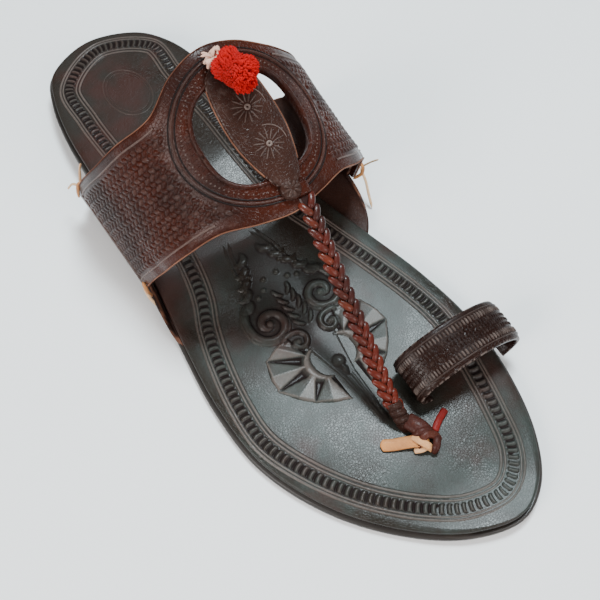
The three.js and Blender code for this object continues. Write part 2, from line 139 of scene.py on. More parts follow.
Crease = namedtuple("Crease", "angle depth")
CREASES = [Crease(24, 0.5), Crease(31, 0.35), Crease(150, 0.45), Crease(158, 0.3)]
CREASE_WIDTH = 3.2
WAVE_HEIGHT = 0.22

RIB_SHARES = np.array([-0.5, -0.3, 0.0, 0.3, 0.5])
RIB_SHOULDER = 0.8
RIB_SINK = 0.15
RIB_TIP = 0.35


def length(label, value, text):
    return FloatProperty(name=label, description=text, default=value, min=0.0,
                         unit="LENGTH", subtype="DISTANCE")


def colour(label, value, text):
    return FloatVectorProperty(name=label, description=text, default=value, size=3,
                               min=0.0, max=1.0, subtype="COLOR")


class SandalSizes(PropertyGroup):
    """Real sizes of the shoe, in metres."""
    sole_length: length("Sole length", 0.270, "Heel to toe")
    ball_width: length("Ball width", 0.0985, "Width at the ball of the foot")
    instep_height: length("Instep height", 0.0855, "Top of the band above the ground")
    lift_height: length("Heel lift", 0.007, "Height of the stacked lift")
    toe_spring: length("Toe spring", 0.002, "Rise of the toe")
    outsole_thick: length("Outsole", 0.003, "Thickness of the outsole")
    insole_thick: length("Insole", 0.0025, "Thickness of the top sole")
    insole_inset: length("Insole inset", 0.0016, "Step between outsole and insole")
    flap_thick: length("Flap leather", 0.0015, "Thickness of the side flaps")
    band_wall: length("Band leather", 0.002, "Thickness of the instep band")
    fit_gap: length("Fit gap", 0.0003, "Gap between pieces that touch")
    arch_half: length("Arch half width", 0.0475, "Half width of the band's arch")
    braid_width: length("Braid width", 0.0062, "Width of the plaited strap")
    emboss: length("Emboss", 0.00045, "Height of the stamped relief")
    pompom_radius: length("Pompom", 0.0088, "Radius of the pompom")
    yarns: IntProperty(name="Yarns", description="Wool yarns in the pompom", default=2550, min=100)


class SandalColours(PropertyGroup):
    """Colours of the leather, wool and floor."""
    sole: colour("Sole", (0.012, 0.008, 0.006), "Dyed sole edges")
    insole: colour("Insole", (0.016, 0.009, 0.006), "Top sole")
    # Painted sheen: a grey-teal colour on the forefoot that stands in for the reflection of the lamps.
    insole_painted_sheen: colour("Insole painted sheen", (0.030, 0.036, 0.032), "Painted sheen over the forefoot")
    band: colour("Band", (0.042, 0.0085, 0.004), "Instep band")
    # Dark mottling of the leathers; scaled down, it is also the painted shade in their hollows.
    band_dark: colour("Band dark", (0.010, 0.0035, 0.0025), "Dark mottling, and painted shade in hollows")
    leaf: colour("Leaf", (0.034, 0.014, 0.010), "Raised leaf")
    ring: colour("Toe ring", (0.016, 0.006, 0.004), "Toe ring")
    # Painted highlight on the raised tops of stamps and relief, where the tone is above nought; also the
    # light flecks of the grain.
    bright: colour("Painted highlight", (0.260, 0.200, 0.175), "Painted highlight on raised tops, and light flecks")
    cut_edge: colour("Cut edge", (0.200, 0.085, 0.050), "Undyed cut edge")
    braid: colour("Braid", (0.095, 0.012, 0.006), "Plaited strap")
    braid_light: colour("Braid light", (0.260, 0.060, 0.020), "Light strand")
    lace: colour("Lace", (0.600, 0.250, 0.080), "Undyed lacing")
    wool: colour("Pompom", (0.430, 0.0010, 0.0006), "Red wool")
    thread: colour("Thread", (0.720, 0.450, 0.340), "Pale tie")
    floor: colour("Floor", (0.920, 0.920, 0.925), "Studio floor")


def span_curve(t, first, last, first_slope, last_slope):
    """Cubic curve between two values, with a slope at each end."""
    low = (2 * t**3 - 3 * t**2 + 1) * first + (t**3 - 2 * t**2 + t) * first_slope
    return low + (-2 * t**3 + 3 * t**2) * last + (t**3 - t**2) * last_slope


def hermite(table, column, value):
    """Smooth value of one column of a table, by its first column."""
    keys = np.array([row[0] for row in table], float)
    values = np.array([getattr(row, column) for row in table], float)
    value = np.clip(np.asarray(value, float), keys[0], keys[-1])
    before = np.maximum(np.arange(len(keys)) - 1, 0)
    after = np.minimum(np.arange(len(keys)) + 1, len(keys) - 1)
    slope = (values[after] - values[before]) / (keys[after] - keys[before])
    i = np.clip(np.searchsorted(keys, value, side="left") - 1, 0, len(keys) - 2)
    span = keys[i + 1] - keys[i]
    slopes = slope[i] * span, slope[i + 1] * span
    return span_curve((value - keys[i]) / span, values[i], values[i + 1], *slopes)


def catmull(points, closed, per_span):
    """Centripetal Catmull-Rom curve through points."""
    points = np.asarray(points, float)
    count = len(points)
    spans = count if closed else count - 1
    rows = []
    for i in range(spans):
        if closed:
            a, b, c, d = (points[(i + k) % count] for k in (-1, 0, 1, 2))
        else:
            b, c = points[i], points[i + 1]
            a = points[i - 1] if i else 2 * b - c
            d = points[i + 2] if i + 2 < count else 2 * c - b
        d0, d1, d2 = (max(np.linalg.norm(q - p) ** 0.5, 1e-4) for p, q in ((a, b), (b, c), (c, d)))
        m1 = ((b - a) / d0 - (c - a) / (d0 + d1) + (c - b) / d1) * d1
        m2 = ((c - b) / d1 - (d - b) / (d1 + d2) + (d - c) / d2) * d1
        t = np.linspace(0, 1, per_span, endpoint=False)[:, None]
        rows.append(span_curve(t, b, c, m1, m2))
    if not closed:
        rows.append(points[-1:])
    return np.concatenate(rows)


def smooth_step(value, low, high):
    t = np.clip((np.asarray(value, float) - low) / (high - low), 0, 1)
    return t * t * (3 - 2 * t)


def rounded(ratio):
    """Height of a half circle at a share of its radius."""
    return np.sqrt(np.clip(1 - ratio**2, 0, 1))


def swelling(count, taper, least=0.0, power=0.5):
    """Width along a path that narrows towards both ends."""
    t = np.linspace(0, 1, count)
    return np.clip(np.minimum(t, 1 - t) / taper, least, 1) ** power if taper else np.ones(count)


def unit(vectors):
    return vectors / np.maximum(np.linalg.norm(vectors, axis=-1, keepdims=True), 1e-9)


def circle(angle):
    return np.stack([np.cos(angle), np.sin(angle)], -1)


def between(at, keys, rows):
    """Rows read off between the rows of a table, by their keys."""
    return np.stack([np.interp(at, keys, column) for column in rows.T], 1)


def resample(points, count, closed=False):
    """Points at even steps along a path."""
    points = np.asarray(points, float)
    if closed:
        points = np.vstack([points, points[:1]])
    walk = np.concatenate([[0], np.cumsum(np.linalg.norm(np.diff(points, axis=0), axis=1))])
    return between(np.linspace(0, walk[-1], count, endpoint=not closed), walk, points)


def walk_length(points):
    return float(np.linalg.norm(np.diff(points, axis=0), axis=1).sum())


class Shape:
    """The shoe's forms, in millimetres, from the sizes in the panel."""

    def __init__(self, sizes):
        for key in sizes.bl_rna.properties.keys():
            if isinstance(getattr(sizes, key, None), float):
                setattr(self, key, getattr(sizes, key) / MM)
        plan = self.outline(SOLE_PLAN, SOLE_HEEL, SOLE_TOE)
        top = int(np.argmax(plan[:, 1]))
        low = int(np.argmin(plan[:, 1]))
        turned = np.roll(plan, -low, axis=0)
        split = (top - low) % len(plan)
        self.sides = {1: turned[:split + 1], -1: np.vstack([turned[split:], turned[:1]])[::-1]}
        self.low_y, self.high_y = plan[low, 1], plan[top, 1]
        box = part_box("outsole")
        middle = (box[0][0] + box[1][0]) / 2 / MM
        self.shift = np.array([middle - (plan[:, 0].min() + plan[:, 0].max()) / 2, 0.0, 0.0])
        self.tilt = math.atan(BAND_SLOPE)
        self.medal_y = self.y(MEDAL_AT)

    def y(self, share):
        return (np.asarray(share, float) - 0.5) * self.sole_length

    def outline(self, rows, heel, toe):
        """Smooth closed line through half widths at shares of the length and through both tips."""
        wide = self.ball_width
        lateral = [(row.lateral * wide, self.y(row.at)) for row in rows]
        medial = [(-row.medial * wide, self.y(row.at)) for row in reversed(rows)]
        heel, toe = ([(tip.side * wide, self.y(tip.at))] for tip in (heel, toe))
        return catmull(heel + lateral + toe + medial, True, OUTLINE_STEPS)

    def edge(self, y, side):
        line = self.sides[side]
        order = np.argsort(line[:, 1])
        return np.interp(y, line[order, 1], line[order, 0])

    def ground(self, y):
        share = np.asarray(y, float) / self.sole_length + 0.5
        waist = 1 - smooth_step(share, WAIST_START, WAIST_END)
        toe = np.clip((share - SPRING_START) / (1 - SPRING_START), 0, 1)
        return self.lift_height * waist + self.toe_spring * toe * toe

    def outsole_top(self, y):
        return self.ground(y) + self.outsole_thick

    def insole_low(self, y):
        return self.outsole_top(y) + self.fit_gap

    def floor(self, y):
        return self.insole_low(y) + self.insole_thick

    def arch_top(self, y):
        return self.instep_height - BAND_SLOPE * (np.asarray(y, float) - self.y(BAND_TOP_AT))

    def arch_height(self, y, sine):
        foot = self.floor(y) + BAND_FOOT
        return foot + (self.arch_top(y) - foot) * sine

    def arch(self, y, angle, lift=0.0):
        """Points and outward directions of the band's middle layer."""
        y, a = np.broadcast_arrays(np.asarray(y, float), np.radians(np.asarray(angle, float)))

        def place(yy, aa):
            side = ARCH_SIDE - self.arch_half * np.cos(aa)
            return np.stack([side, yy, self.arch_height(yy, np.sin(aa))], -1)
        along = place(y + 0.5, a) - place(y - 0.5, a)
        round_arch = place(y, a + 0.01) - place(y, a - 0.01)
        normal = unit(np.cross(round_arch, along))
        middle = np.stack([np.full_like(y, ARCH_SIDE), y, np.full_like(y, 10.0)], -1)
        facing = np.sum(normal * (place(y, a) - middle), -1, keepdims=True)
        normal = np.where(facing < 0, -normal, normal)
        return place(y, a) + normal * np.asarray(lift, float)[..., None], normal

    def band_y(self, share, angle):
        rear = self.y(hermite(BAND_EDGES, "rear", angle))
        front = self.y(hermite(BAND_EDGES, "front", angle))
        return rear + (front - rear) * share

    def crease(self, share, angle):
        """Soft waves and troughs worn into the band."""
        share, angle = np.asarray(share, float), np.asarray(angle, float)
        rise = WAVE_HEIGHT * np.sin(angle * 0.13 + 1.3) * np.sin(share * 5.0 + angle * 0.02)
        for row in CREASES:
            line = row.angle + 6 * np.sin(share * 3 + row.angle)
            trough = np.exp(-((angle - line) / CREASE_WIDTH) ** 2)
            rise = rise - row.depth * trough * smooth_step(share, 0.1, 0.5)
        return rise

    def band(self, share, angle, lift=0.0):
        return self.arch(self.band_y(share, angle), angle, lift + self.crease(share, angle))

    def medal(self, side, along, lift=0.0):
        """Points of the band's top from flat places on the medallion, seen square on."""
        side, along = np.broadcast_arrays(np.asarray(side, float), np.asarray(along, float))
        away = (MEDAL_SIDE + side - ARCH_SIDE) / self.arch_half
        sine = np.sqrt(np.clip(1 - away**2, 0.01, 1))
        angle = np.degrees(np.arccos(np.clip(-away, -1, 1)))
        low, high = np.zeros_like(side), np.full_like(side, MEDAL_DEPTH)
        for _ in range(MEDAL_HALVINGS):
            depth = (low + high) / 2
            y = self.medal_y + along * math.cos(self.tilt) - depth * math.sin(self.tilt)
            z = self.arch_top(self.medal_y) - along * math.sin(self.tilt) - depth * math.cos(self.tilt)
            above = z > self.arch_height(y, sine)
            low = np.where(above, depth, low)
            high = np.where(above, high, depth)
        rear, front = self.band_y(0.0, angle), self.band_y(1.0, angle)
        share = np.clip((y - rear) / (front - rear), 0, 1)
        return self.arch(y, angle, lift + self.crease(share, angle))

    def in_medal(self, points, wide, long):
        """Which points near the band lie inside an oval on the medallion."""
        away = points[..., 1] - self.medal_y
        rise = points[..., 2] - self.arch_top(self.medal_y)
        along = away * math.cos(self.tilt) - rise * math.sin(self.tilt)
        return ((points[..., 0] - MEDAL_SIDE) / wide) ** 2 + (along / long) ** 2 < 1

    def on_floor(self, x, y, lift=0.0):
        """Points on the insole and the direction square to it."""
        x, y = np.broadcast_arrays(np.asarray(x, float), np.asarray(y, float))
        fall = (self.floor(y + 0.5) - self.floor(y - 0.5))
        normal = unit(np.stack([np.zeros_like(y), -fall, np.ones_like(y)], -1))
        return np.stack([x, y, self.floor(y)], -1) + normal * np.asarray(lift, float)[..., None], normal

    def braid_line(self, count):
        rows = [(row.side, self.y(row.at), row.height) for row in BRAID_PATH]
        return resample(catmull(rows, False, 24), count)


def ready(context):
    """The forms and the colours that the panel asks for."""
    return Shape(context.scene.sandal_sizes), context.scene.sandal_colours


class Bag:
    """Collects the vertices and faces of one piece, with a tone for each vertex."""

    def __init__(self):
        self.points, self.faces, self.tones, self.count = [], [], [], 0

    def add(self, points, faces, tone=0.0):
        points = np.asarray(points, float).reshape(-1, 3)
        self.faces += [[k + self.count for k in face] for face in faces]
        self.points.append(points)
        tone = np.asarray(tone, float)
        self.tones.append(tone.ravel() if tone.ndim else np.full(len(points), tone))
        self.count += len(points)

    def grid(self, points, tone=0.0, close=False, flip=False):
        rows, cols = points.shape[:2]
        faces = []
        for i in range(rows - 1):
            for j in range(cols if close else cols - 1):
                k = (j + 1) % cols
                face = [i * cols + j, i * cols + k, (i + 1) * cols + k, (i + 1) * cols + j]
                faces.append(face[::-1] if flip else face)
        self.add(points, faces, tone)

    def shell(self, outer, inner, end_tone=0.0, side_tone=0.0, turned=False):
        """A sheet of leather: two faces and the strips along its four edges, turned for a mirrored sheet."""
        self.grid(outer)
        self.grid(inner, flip=True)
        for line in ((outer[0], inner[0]), (inner[-1], outer[-1])):
            self.grid(np.stack(line), end_tone)
        sides = ((inner[:, 0], outer[:, 0]), (outer[:, -1], inner[:, -1]))
        if turned:
            sides = (sides[1][::-1], sides[0][::-1])
        for line in sides:
            self.grid(np.stack(line), side_tone)

    def ribbon(self, path, normal, width, height, tone=1.0, taper=0.0):
        """A low rounded ridge along a path on a surface."""
        along = unit(np.gradient(path, axis=0))
        across = unit(np.cross(along, normal))
        swell = swelling(len(path), taper)[:, None]
        shoulder = RIB_SHOULDER * height
        highs = np.array([-RIB_SINK, shoulder, height, shoulder, -RIB_SINK])
        rise = np.where(highs > 0, highs * swell, highs)
        widths = RIB_SHARES * width * (RIB_TIP + (1 - RIB_TIP) * swell)
        across = across[:, None] * widths[..., None]
        self.grid(path[:, None] + across + normal[:, None] * rise[..., None], tone)

    def tube(self, path, wide, thick, out=(0, 0, 1), sides=8, tone=0.0, taper=0.0, closed=False):
        """A strand along a path, oval in section, closed at both ends."""
        path = np.asarray(path, float)
        along = unit(np.gradient(path, axis=0))
        if closed:
            along = unit(np.roll(path, -1, axis=0) - np.roll(path, 1, axis=0))
        across = unit(np.cross(along, np.broadcast_to(np.asarray(out, float), path.shape)))
        up = unit(np.cross(across, along))
        swell = swelling(len(path), taper, least=0.02)[:, None, None] / 2
        turn = np.linspace(0, 2 * np.pi, sides, endpoint=False)[None, :, None]
        a = np.cos(turn) * across[:, None] * wide * swell
        b = np.sin(turn) * up[:, None] * thick * swell
        rows = path[:, None] + a + b
        if closed:
            rows = np.concatenate([rows, rows[:1]])
        start = self.count
        self.grid(rows, tone, close=True)
        if not closed:
            last = start + (len(rows) - 1) * sides
            self.faces.append([start + k for k in range(sides)][::-1])
            self.faces.append([last + k for k in range(sides)])

    def build(self, name, shape, material, weld=0.0, smooth=True):
        points = (np.concatenate(self.points) + shape.shift) * MM
        mesh = bpy.data.meshes.new(name)
        mesh.from_pydata(points.tolist(), [], self.faces)
        tone = mesh.attributes.new("tone", "FLOAT", "POINT")
        tone.data.foreach_set("value", np.concatenate(self.tones).astype(np.float32))
        if weld:
            edit = bmesh.new()
            edit.from_mesh(mesh)
            bmesh.ops.remove_doubles(edit, verts=edit.verts, dist=weld * MM)
            bmesh.ops.recalc_face_normals(edit, faces=edit.faces)
            edit.to_mesh(mesh)
            edit.free()
        mesh.polygons.foreach_set("use_smooth", [smooth] * len(mesh.polygons))
        mesh.materials.append(material)
        piece = bpy.data.objects.new(name, mesh)
        bpy.context.scene.collection.objects.link(piece)
        return piece


def settle(piece, slot, *nodes):
    """The piece rides on the shoe and stands for CAD nodes. The slot argument is not used."""
    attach(piece, "root")
    if nodes:
        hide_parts(*nodes)


class Sock:
    """A shader value that takes part in sums like a number."""

    def __init__(self, tree, socket):
        self.tree, self.socket = tree, socket

    def run(self, operation, *others):
        node = self.tree.nodes.new("ShaderNodeMath")
        node.operation = operation
        for i, value in enumerate(others):
            if isinstance(value, Sock):
                self.tree.links.new(value.socket, node.inputs[i])
            else:
                node.inputs[i].default_value = value
        return Sock(self.tree, node.outputs[0])

    def __add__(self, other):
        return self.run("ADD", self, other)

    def __radd__(self, other):
        return self.run("ADD", other, self)

    def __sub__(self, other):
        return self.run("SUBTRACT", self, other)

    def __rsub__(self, other):
        return self.run("SUBTRACT", other, self)

    def __mul__(self, other):
        return self.run("MULTIPLY", self, other)

    def __rmul__(self, other):
        return self.run("MULTIPLY", other, self)

    def __truediv__(self, other):
        return self.run("DIVIDE", self, other)

    def __rtruediv__(self, other):
        return self.run("DIVIDE", other, self)

    def __pow__(self, other):
        return self.run("POWER", self, other)

    def step(self, low, high):
        node = self.tree.nodes.new("ShaderNodeMapRange")
        node.interpolation_type = "SMOOTHSTEP"
        self.tree.links.new(self.socket, node.inputs["Value"])
        node.inputs["From Min"].default_value = low
        node.inputs["From Max"].default_value = high
        return Sock(self.tree, node.outputs["Result"])


SKINS = {}


class Skin:
    """One procedural material, kept under its name in SKINS."""

    def __init__(self, name, **constants):
        self.material = bpy.data.materials.new(name)
        self.material.use_nodes = True
        SKINS[name] = self.material
        self.tree = self.material.node_tree
        self.shader = self.tree.nodes["Principled BSDF"]
        for key, value in constants.items():
            self.shader.inputs[key.replace("_", " ")].default_value = value

    def node(self, kind, output, inputs, **settings):
        node = self.tree.nodes.new(kind)
        for key, value in settings.items():
            setattr(node, key, value)
        for key, value in inputs.items():
            if isinstance(value, Sock):
                self.tree.links.new(value.socket, node.inputs[key])
            else:
                node.inputs[key].default_value = value
        return Sock(self.tree, node.outputs[output])

    def place(self):
        return self.node("ShaderNodeTexCoord", "Object", {})

    def tone(self):
        return self.node("ShaderNodeAttribute", "Fac", {}, attribute_name="tone")

    def noise(self, scale, detail=3.0, rough=0.6):
        inputs = {"Vector": self.place(), "Scale": scale, "Detail": detail, "Roughness": rough}
        return self.node("ShaderNodeTexNoise", "Fac", inputs)

    def cells(self, scale):
        inputs = {"Vector": self.place(), "Scale": scale}
        return self.node("ShaderNodeTexVoronoi", "Distance", inputs, feature="DISTANCE_TO_EDGE")

    def mix(self, share, first, second):
        node = self.tree.nodes.new("ShaderNodeMix")
        node.data_type = "RGBA"
        for index, value in ((0, share), (6, first), (7, second)):
            if isinstance(value, Sock):
                self.tree.links.new(value.socket, node.inputs[index])
            else:
                node.inputs[index].default_value = value if index == 0 else (*value, 1.0)
        return Sock(self.tree, node.outputs[2])

    def bump(self, height, depth):
        inputs = {"Height": height, "Strength": 1.0, "Distance": depth}
        self.feed("Normal", self.node("ShaderNodeBump", "Normal", inputs))

    def feed(self, name, value):
        self.tree.links.new(value.socket, self.shader.inputs[name])


RED_BROWN = (0.040, 0.012, 0.009)
# Colour for negative tones on the insole: painted shade in the grooves, moats and pleat folds, and the
# darker ground and leaves of the motif.
INSOLE_DARK = (0.008, 0.004, 0.0035)
LAYER_STRIPE = (0.085, 0.065, 0.055)
KNOT_BROWN = (0.052, 0.014, 0.010)
LACE_RED = (0.20, 0.012, 0.010)
LACE_RED_DARK = (0.06, 0.005, 0.004)
LACE_PALE = (0.9, 0.66, 0.42)
# Darker red for the pompom's high tones: painted shade inside it and between its tufts.
WOOL_SHADE = (0.14, 0.0, 0.0)
THREAD_DARK = (0.45, 0.16, 0.12)
FLOOR_SHADE = (0.80, 0.80, 0.81)
GRAIN_DEPTH = 0.00012
FIBRE_DEPTH = 0.0001
LAYER_DEPTH = 0.0002


def toned(skin, colours, bright, hollow, share=1.0):
    """Below a tone of nought the hollow colour is mixed in, as painted shade in hollows and grooves. Above
    it the bright colour is mixed in, as a painted highlight on raised tops and as the paler colour of cut
    edges.
    """
    fine = skin.noise(700.0, 2.0)
    tone = skin.tone()
    colours = skin.mix((tone * -1.0).step(0.0, 1.0), colours, hollow)
    return skin.mix(tone.step(0.05, 1.0) * (0.35 + 0.65 * fine) * share, colours, bright)


def matt(skin, share):
    """Where pressed hollows have lost their polish."""
    return (skin.tone() * -share).step(0.0, 0.9)


def leather(name, base, dark, bright, rough=0.30, coat=0.02):
    """Waxed leather: mottled colour, fine grain, painted shade in the hollows and a painted highlight on the
    raised relief.
    """
    skin = Skin(name, Coat_Weight=coat, Coat_Roughness=0.18, Specular_IOR_Level=0.13)
    mottle = skin.noise(38.0, 5.0).step(0.36, 0.68)
    fine = skin.noise(420.0, 3.0)
    colours = skin.mix(mottle * 0.8, base, dark)
    colours = skin.mix(fine.step(0.55, 0.9) * 0.16, colours, bright)
    skin.feed("Base Color", toned(skin, colours, bright, tuple(0.35 * v for v in dark)))
    cloudy = rough + 0.20 * (mottle - 0.5) + 0.12 * (fine - 0.5)
    skin.feed("Roughness", cloudy + matt(skin, 0.5) * 0.5)
    wrinkles = skin.cells(900.0).step(0.0, 0.12)
    skin.bump(wrinkles * 0.5 + fine * 0.6 + skin.noise(90.0) * 0.8, GRAIN_DEPTH)
    return skin.material


def insole_leather(name, base, painted_sheen, bright):
    """Top sole: dark at the heel, with a grey painted sheen, a painted reflection, in patches over the
    forefoot.
    """
    skin = Skin(name, Coat_Weight=0.08, Coat_Roughness=0.16, Specular_IOR_Level=0.17)
    split = skin.node("ShaderNodeSeparateXYZ", "Y", {"Vector": skin.place()})
    cloud = skin.noise(26.0, 3.0)
    fine = skin.noise(900.0, 2.0)
    share = (split + (cloud - 0.5) * 0.10).step(-0.030, 0.030)
    # How much painted sheen each place gets: only on the forefoot, in patches.
    painted_light_share = (0.25 + 0.75 * share) * (0.30 + 0.70 * skin.noise(55.0, 4.0).step(0.36, 0.64))
    colours = skin.mix(painted_light_share * (0.72 + 0.28 * fine.step(0.35, 0.65)), base, painted_sheen)
    colours = skin.mix(skin.noise(33.0).step(0.50, 0.72) * 0.65, colours, RED_BROWN)
    skin.feed("Base Color", toned(skin, colours, bright, INSOLE_DARK, 0.75))
    cloudy = 0.25 + 0.26 * cloud.step(0.38, 0.62) + 0.12 * (fine - 0.5)
    skin.feed("Roughness", cloudy + matt(skin, 0.7) * 0.6)
    wrinkles = skin.cells(1100.0).step(0.0, 0.15)
    skin.bump(fine * 0.7 + wrinkles * 0.35 + skin.noise(120.0, 3.0) * 1.2, GRAIN_DEPTH)
    return skin.material


def sole_edge(name, base, stripe):
    """Dyed leather edges: fine layers, a little shine."""
    skin = Skin(name, Coat_Weight=0.1, Specular_IOR_Level=0.4)
    height = skin.node("ShaderNodeSeparateXYZ", "Z", {"Vector": skin.place()})
    flat = {"X": height * 900.0, "Y": skin.noise(40.0) * 2.0}
    inputs = {"Vector": skin.node("ShaderNodeCombineXYZ", "Vector", flat), "Scale": 1.0, "Detail": 2.0}
    layers = skin.node("ShaderNodeTexNoise", "Fac", inputs)
    skin.feed("Base Color", skin.mix(layers.step(0.45, 0.75) * 0.6, base, stripe))
    skin.feed("Roughness", 0.5 + 0.3 * (layers - 0.5))
    skin.bump(layers + skin.noise(300.0) * 0.4, LAYER_DEPTH)
    return skin.material


def fibre(name, base, dark):
    """Wool or thread."""
    skin = Skin(name, Sheen_Weight=0.06, Sheen_Roughness=0.4, Specular_IOR_Level=0.2, Roughness=0.85)
    skin.feed("Base Color", skin.mix(skin.tone() * 0.75, base, dark))
    skin.bump(skin.noise(1600.0), FIBRE_DEPTH)
    return skin.material


Layer = namedtuple("Layer", "inset share rise")
OUTSOLE_LAYERS = [Layer(1.0, 0, 0), Layer(0.35, 0, 0.25), Layer(0.05, 0.3, 0), Layer(0, 0.55, 0),
                  Layer(0.1, 0.8, 0), Layer(0.8, 1, 0)]
LIFT_LAYERS = [Layer(1.2, 0, 0), Layer(0.6, 0, 0.6), Layer(0.45, 0, 3.1), Layer(0.9, 0, 3.45),
               Layer(0.45, 0, 3.8), Layer(0.35, 1, -0.02)]
INSOLE_LAYERS = [Layer(0.3, 0, 0), Layer(0, 0, 0.5), Layer(0, 1, -0.8), Layer(0.15, 1, -0.3),
                 Layer(0.7, 1, 0)]
PLATE_ROWS = 150
PLATE_COLUMNS = 26
BOX_FACES = [(0, 1, 3, 2), (4, 6, 7, 5), (0, 4, 5, 1), (2, 3, 7, 6), (0, 2, 6, 4), (1, 5, 7, 3)]
BOX_SIDES = (-80, 80)
BOX_HEIGHTS = (-5, 20)
BOX_REACH = 20
WELD = 0.001


def plate(shape, base, thick, layers, inset=0.0):
    """A layer of the sole: outlines over a base line, each with an inset and a height."""
    t = np.linspace(0, 1, PLATE_ROWS + 1)
    ease = 0.9 * (0.5 - 0.5 * np.cos(np.pi * t)) + 0.1 * t
    ys = shape.low_y + (shape.high_y - shape.low_y) * ease
    up, down = (np.stack([shape.edge(ys, side), ys], 1) for side in (1, -1))
    line = np.vstack([up, down[1:-1][::-1]])
    along = unit(np.roll(line, -1, axis=0) - np.roll(line, 1, axis=0))
    normal = np.stack([along[:, 1], -along[:, 0]], 1)
    rows = []
    for layer in layers:
        height = base(line[:, 1]) + thick * layer.share + layer.rise
        rows.append(np.column_stack([line - normal * (inset + layer.inset), height]))
    bag = Bag()
    bag.grid(np.array(rows), close=True)
    share = np.linspace(0, 1, PLATE_COLUMNS + 1)[None, :, None]
    for row, flip in ((rows[0], True), (rows[-1], False)):
        lateral = row[1:PLATE_ROWS]
        medial = row[PLATE_ROWS + 1:][::-1]
        start = bag.count
        bag.grid(lateral[:, None] * (1 - share) + medial[:, None] * share, flip=flip)
        for tip, station in ((row[0], 0), (row[PLATE_ROWS], len(lateral) - 1)):
            centre = bag.count
            bag.add(tip[None], [])
            first = start + station * (PLATE_COLUMNS + 1)
            bag.faces += [[centre, first + j, first + j + 1] for j in range(PLATE_COLUMNS)]
    return bag


def cut(piece, cutters):
    """Cuts closed meshes out of a piece and drops them."""
    for cutter in cutters:
        step = piece.modifiers.new("cut", "BOOLEAN")
        step.operation = "DIFFERENCE"
        step.solver = "EXACT"
        step.object = cutter
    bpy.context.view_layer.update()
    ready = piece.evaluated_get(bpy.context.evaluated_depsgraph_get())
    mesh = bpy.data.meshes.new_from_object(ready)
    piece.modifiers.clear()
    piece.data = mesh
    for cutter in cutters:
        bpy.data.objects.remove(cutter)
    mesh.polygons.foreach_set("use_smooth", [True] * len(mesh.polygons))


def soften(piece, width=0.35, angle=35.0):
    """Rounds the sharp edges a little."""
    bevel = piece.modifiers.new("round", "BEVEL")
    bevel.width = width * MM
    bevel.segments = 2
    bevel.limit_method = "ANGLE"
    bevel.angle_limit = math.radians(angle)


def ring_path(wide, long, power, count=160):
    t = np.linspace(0, 2 * np.pi, count, endpoint=False)
    c, s = np.cos(t), np.sin(t)
    return wide * np.sign(c) * np.abs(c) ** (2 / power), long * np.sign(s) * np.abs(s) ** (2 / power)


class SANDAL_OT_sole(Operator):
    """Outsole, stacked heel lift and insole"""
    bl_idname = "sandal.sole"
    bl_label = "Sole"

    def execute(self, context):
        shape, paint = ready(context)
        edge = sole_edge("sole_edge", paint.sole, LAYER_STRIPE)
        outsole = plate(shape, shape.ground, shape.outsole_thick, OUTSOLE_LAYERS)
        settle(outsole.build("outsole_leather", shape, edge, WELD), "sole_leather", "outsole")
        lift = plate(shape, np.zeros_like, shape.lift_height, LIFT_LAYERS)
        lift = lift.build("heel_lift_leather", shape, edge, WELD)
        ys = (shape.y(LIFT_END), shape.y(1.0) + BOX_REACH)
        front = Bag()
        front.add([(x, y, z) for x in BOX_SIDES for y in ys for z in BOX_HEIGHTS], BOX_FACES)
        cut(lift, [front.build("front_cut", shape, edge, smooth=False)])
        soften(lift)
        settle(lift, "sole_leather", "heel_lift")
        top = insole_leather("insole_leather", paint.insole, paint.insole_painted_sheen, paint.bright)
        insole = plate(shape, shape.insole_low, shape.insole_thick, INSOLE_LAYERS, shape.insole_inset)
        settle(insole.build("insole_leather", shape, top, WELD), "insole_leather", "insole")
        return {"FINISHED"}


BORDER = [
    Plan(0.070, 0.218, 0.264),
    Plan(0.150, 0.223, 0.294),
    Plan(0.250, 0.228, 0.294),
    Plan(0.350, 0.223, 0.294),
    Plan(0.450, 0.254, 0.315),
    Plan(0.500, 0.294, 0.350),
    Plan(0.540, 0.322, 0.399),
    Plan(0.600, 0.364, 0.450),
    Plan(0.670, 0.406, 0.485),
    Plan(0.730, 0.421, 0.487),
    Plan(0.800, 0.388, 0.420),
    Plan(0.870, 0.342, 0.305),
    Plan(0.930, 0.284, 0.150),
    Plan(0.960, 0.210, 0.028),
]
BORDER_HEEL = Tip(0.020, 0.020)
BORDER_TOE = Tip(0.972, -0.122)
BorderLine = namedtuple("BorderLine", "at half height")
BORDER_LINES = [BorderLine(0.0, 0.42, 0.40), BorderLine(1.15, 0.35, 0.30),
                BorderLine(6.7, 0.38, 0.34), BorderLine(8.1, 0.42, 0.36)]
BORDER_FROM = -0.9
BORDER_TO = 9.0
BORDER_COLUMNS = 40
LINE_TONE = 0.50
# Grooves beside the border lines are painted shade only, with no dip in the surface.
GROOVE_AT = 0.62
GROOVE_HALF = 0.22
GROOVE_TONE = 0.7
STAMP_PITCH = 2.8
STAMP_STEPS = 7
STAMP_MIDDLE = 3.7
STAMP_BOW = 0.16
STAMP_HALF = 0.30
STAMP_HEIGHT = 0.70

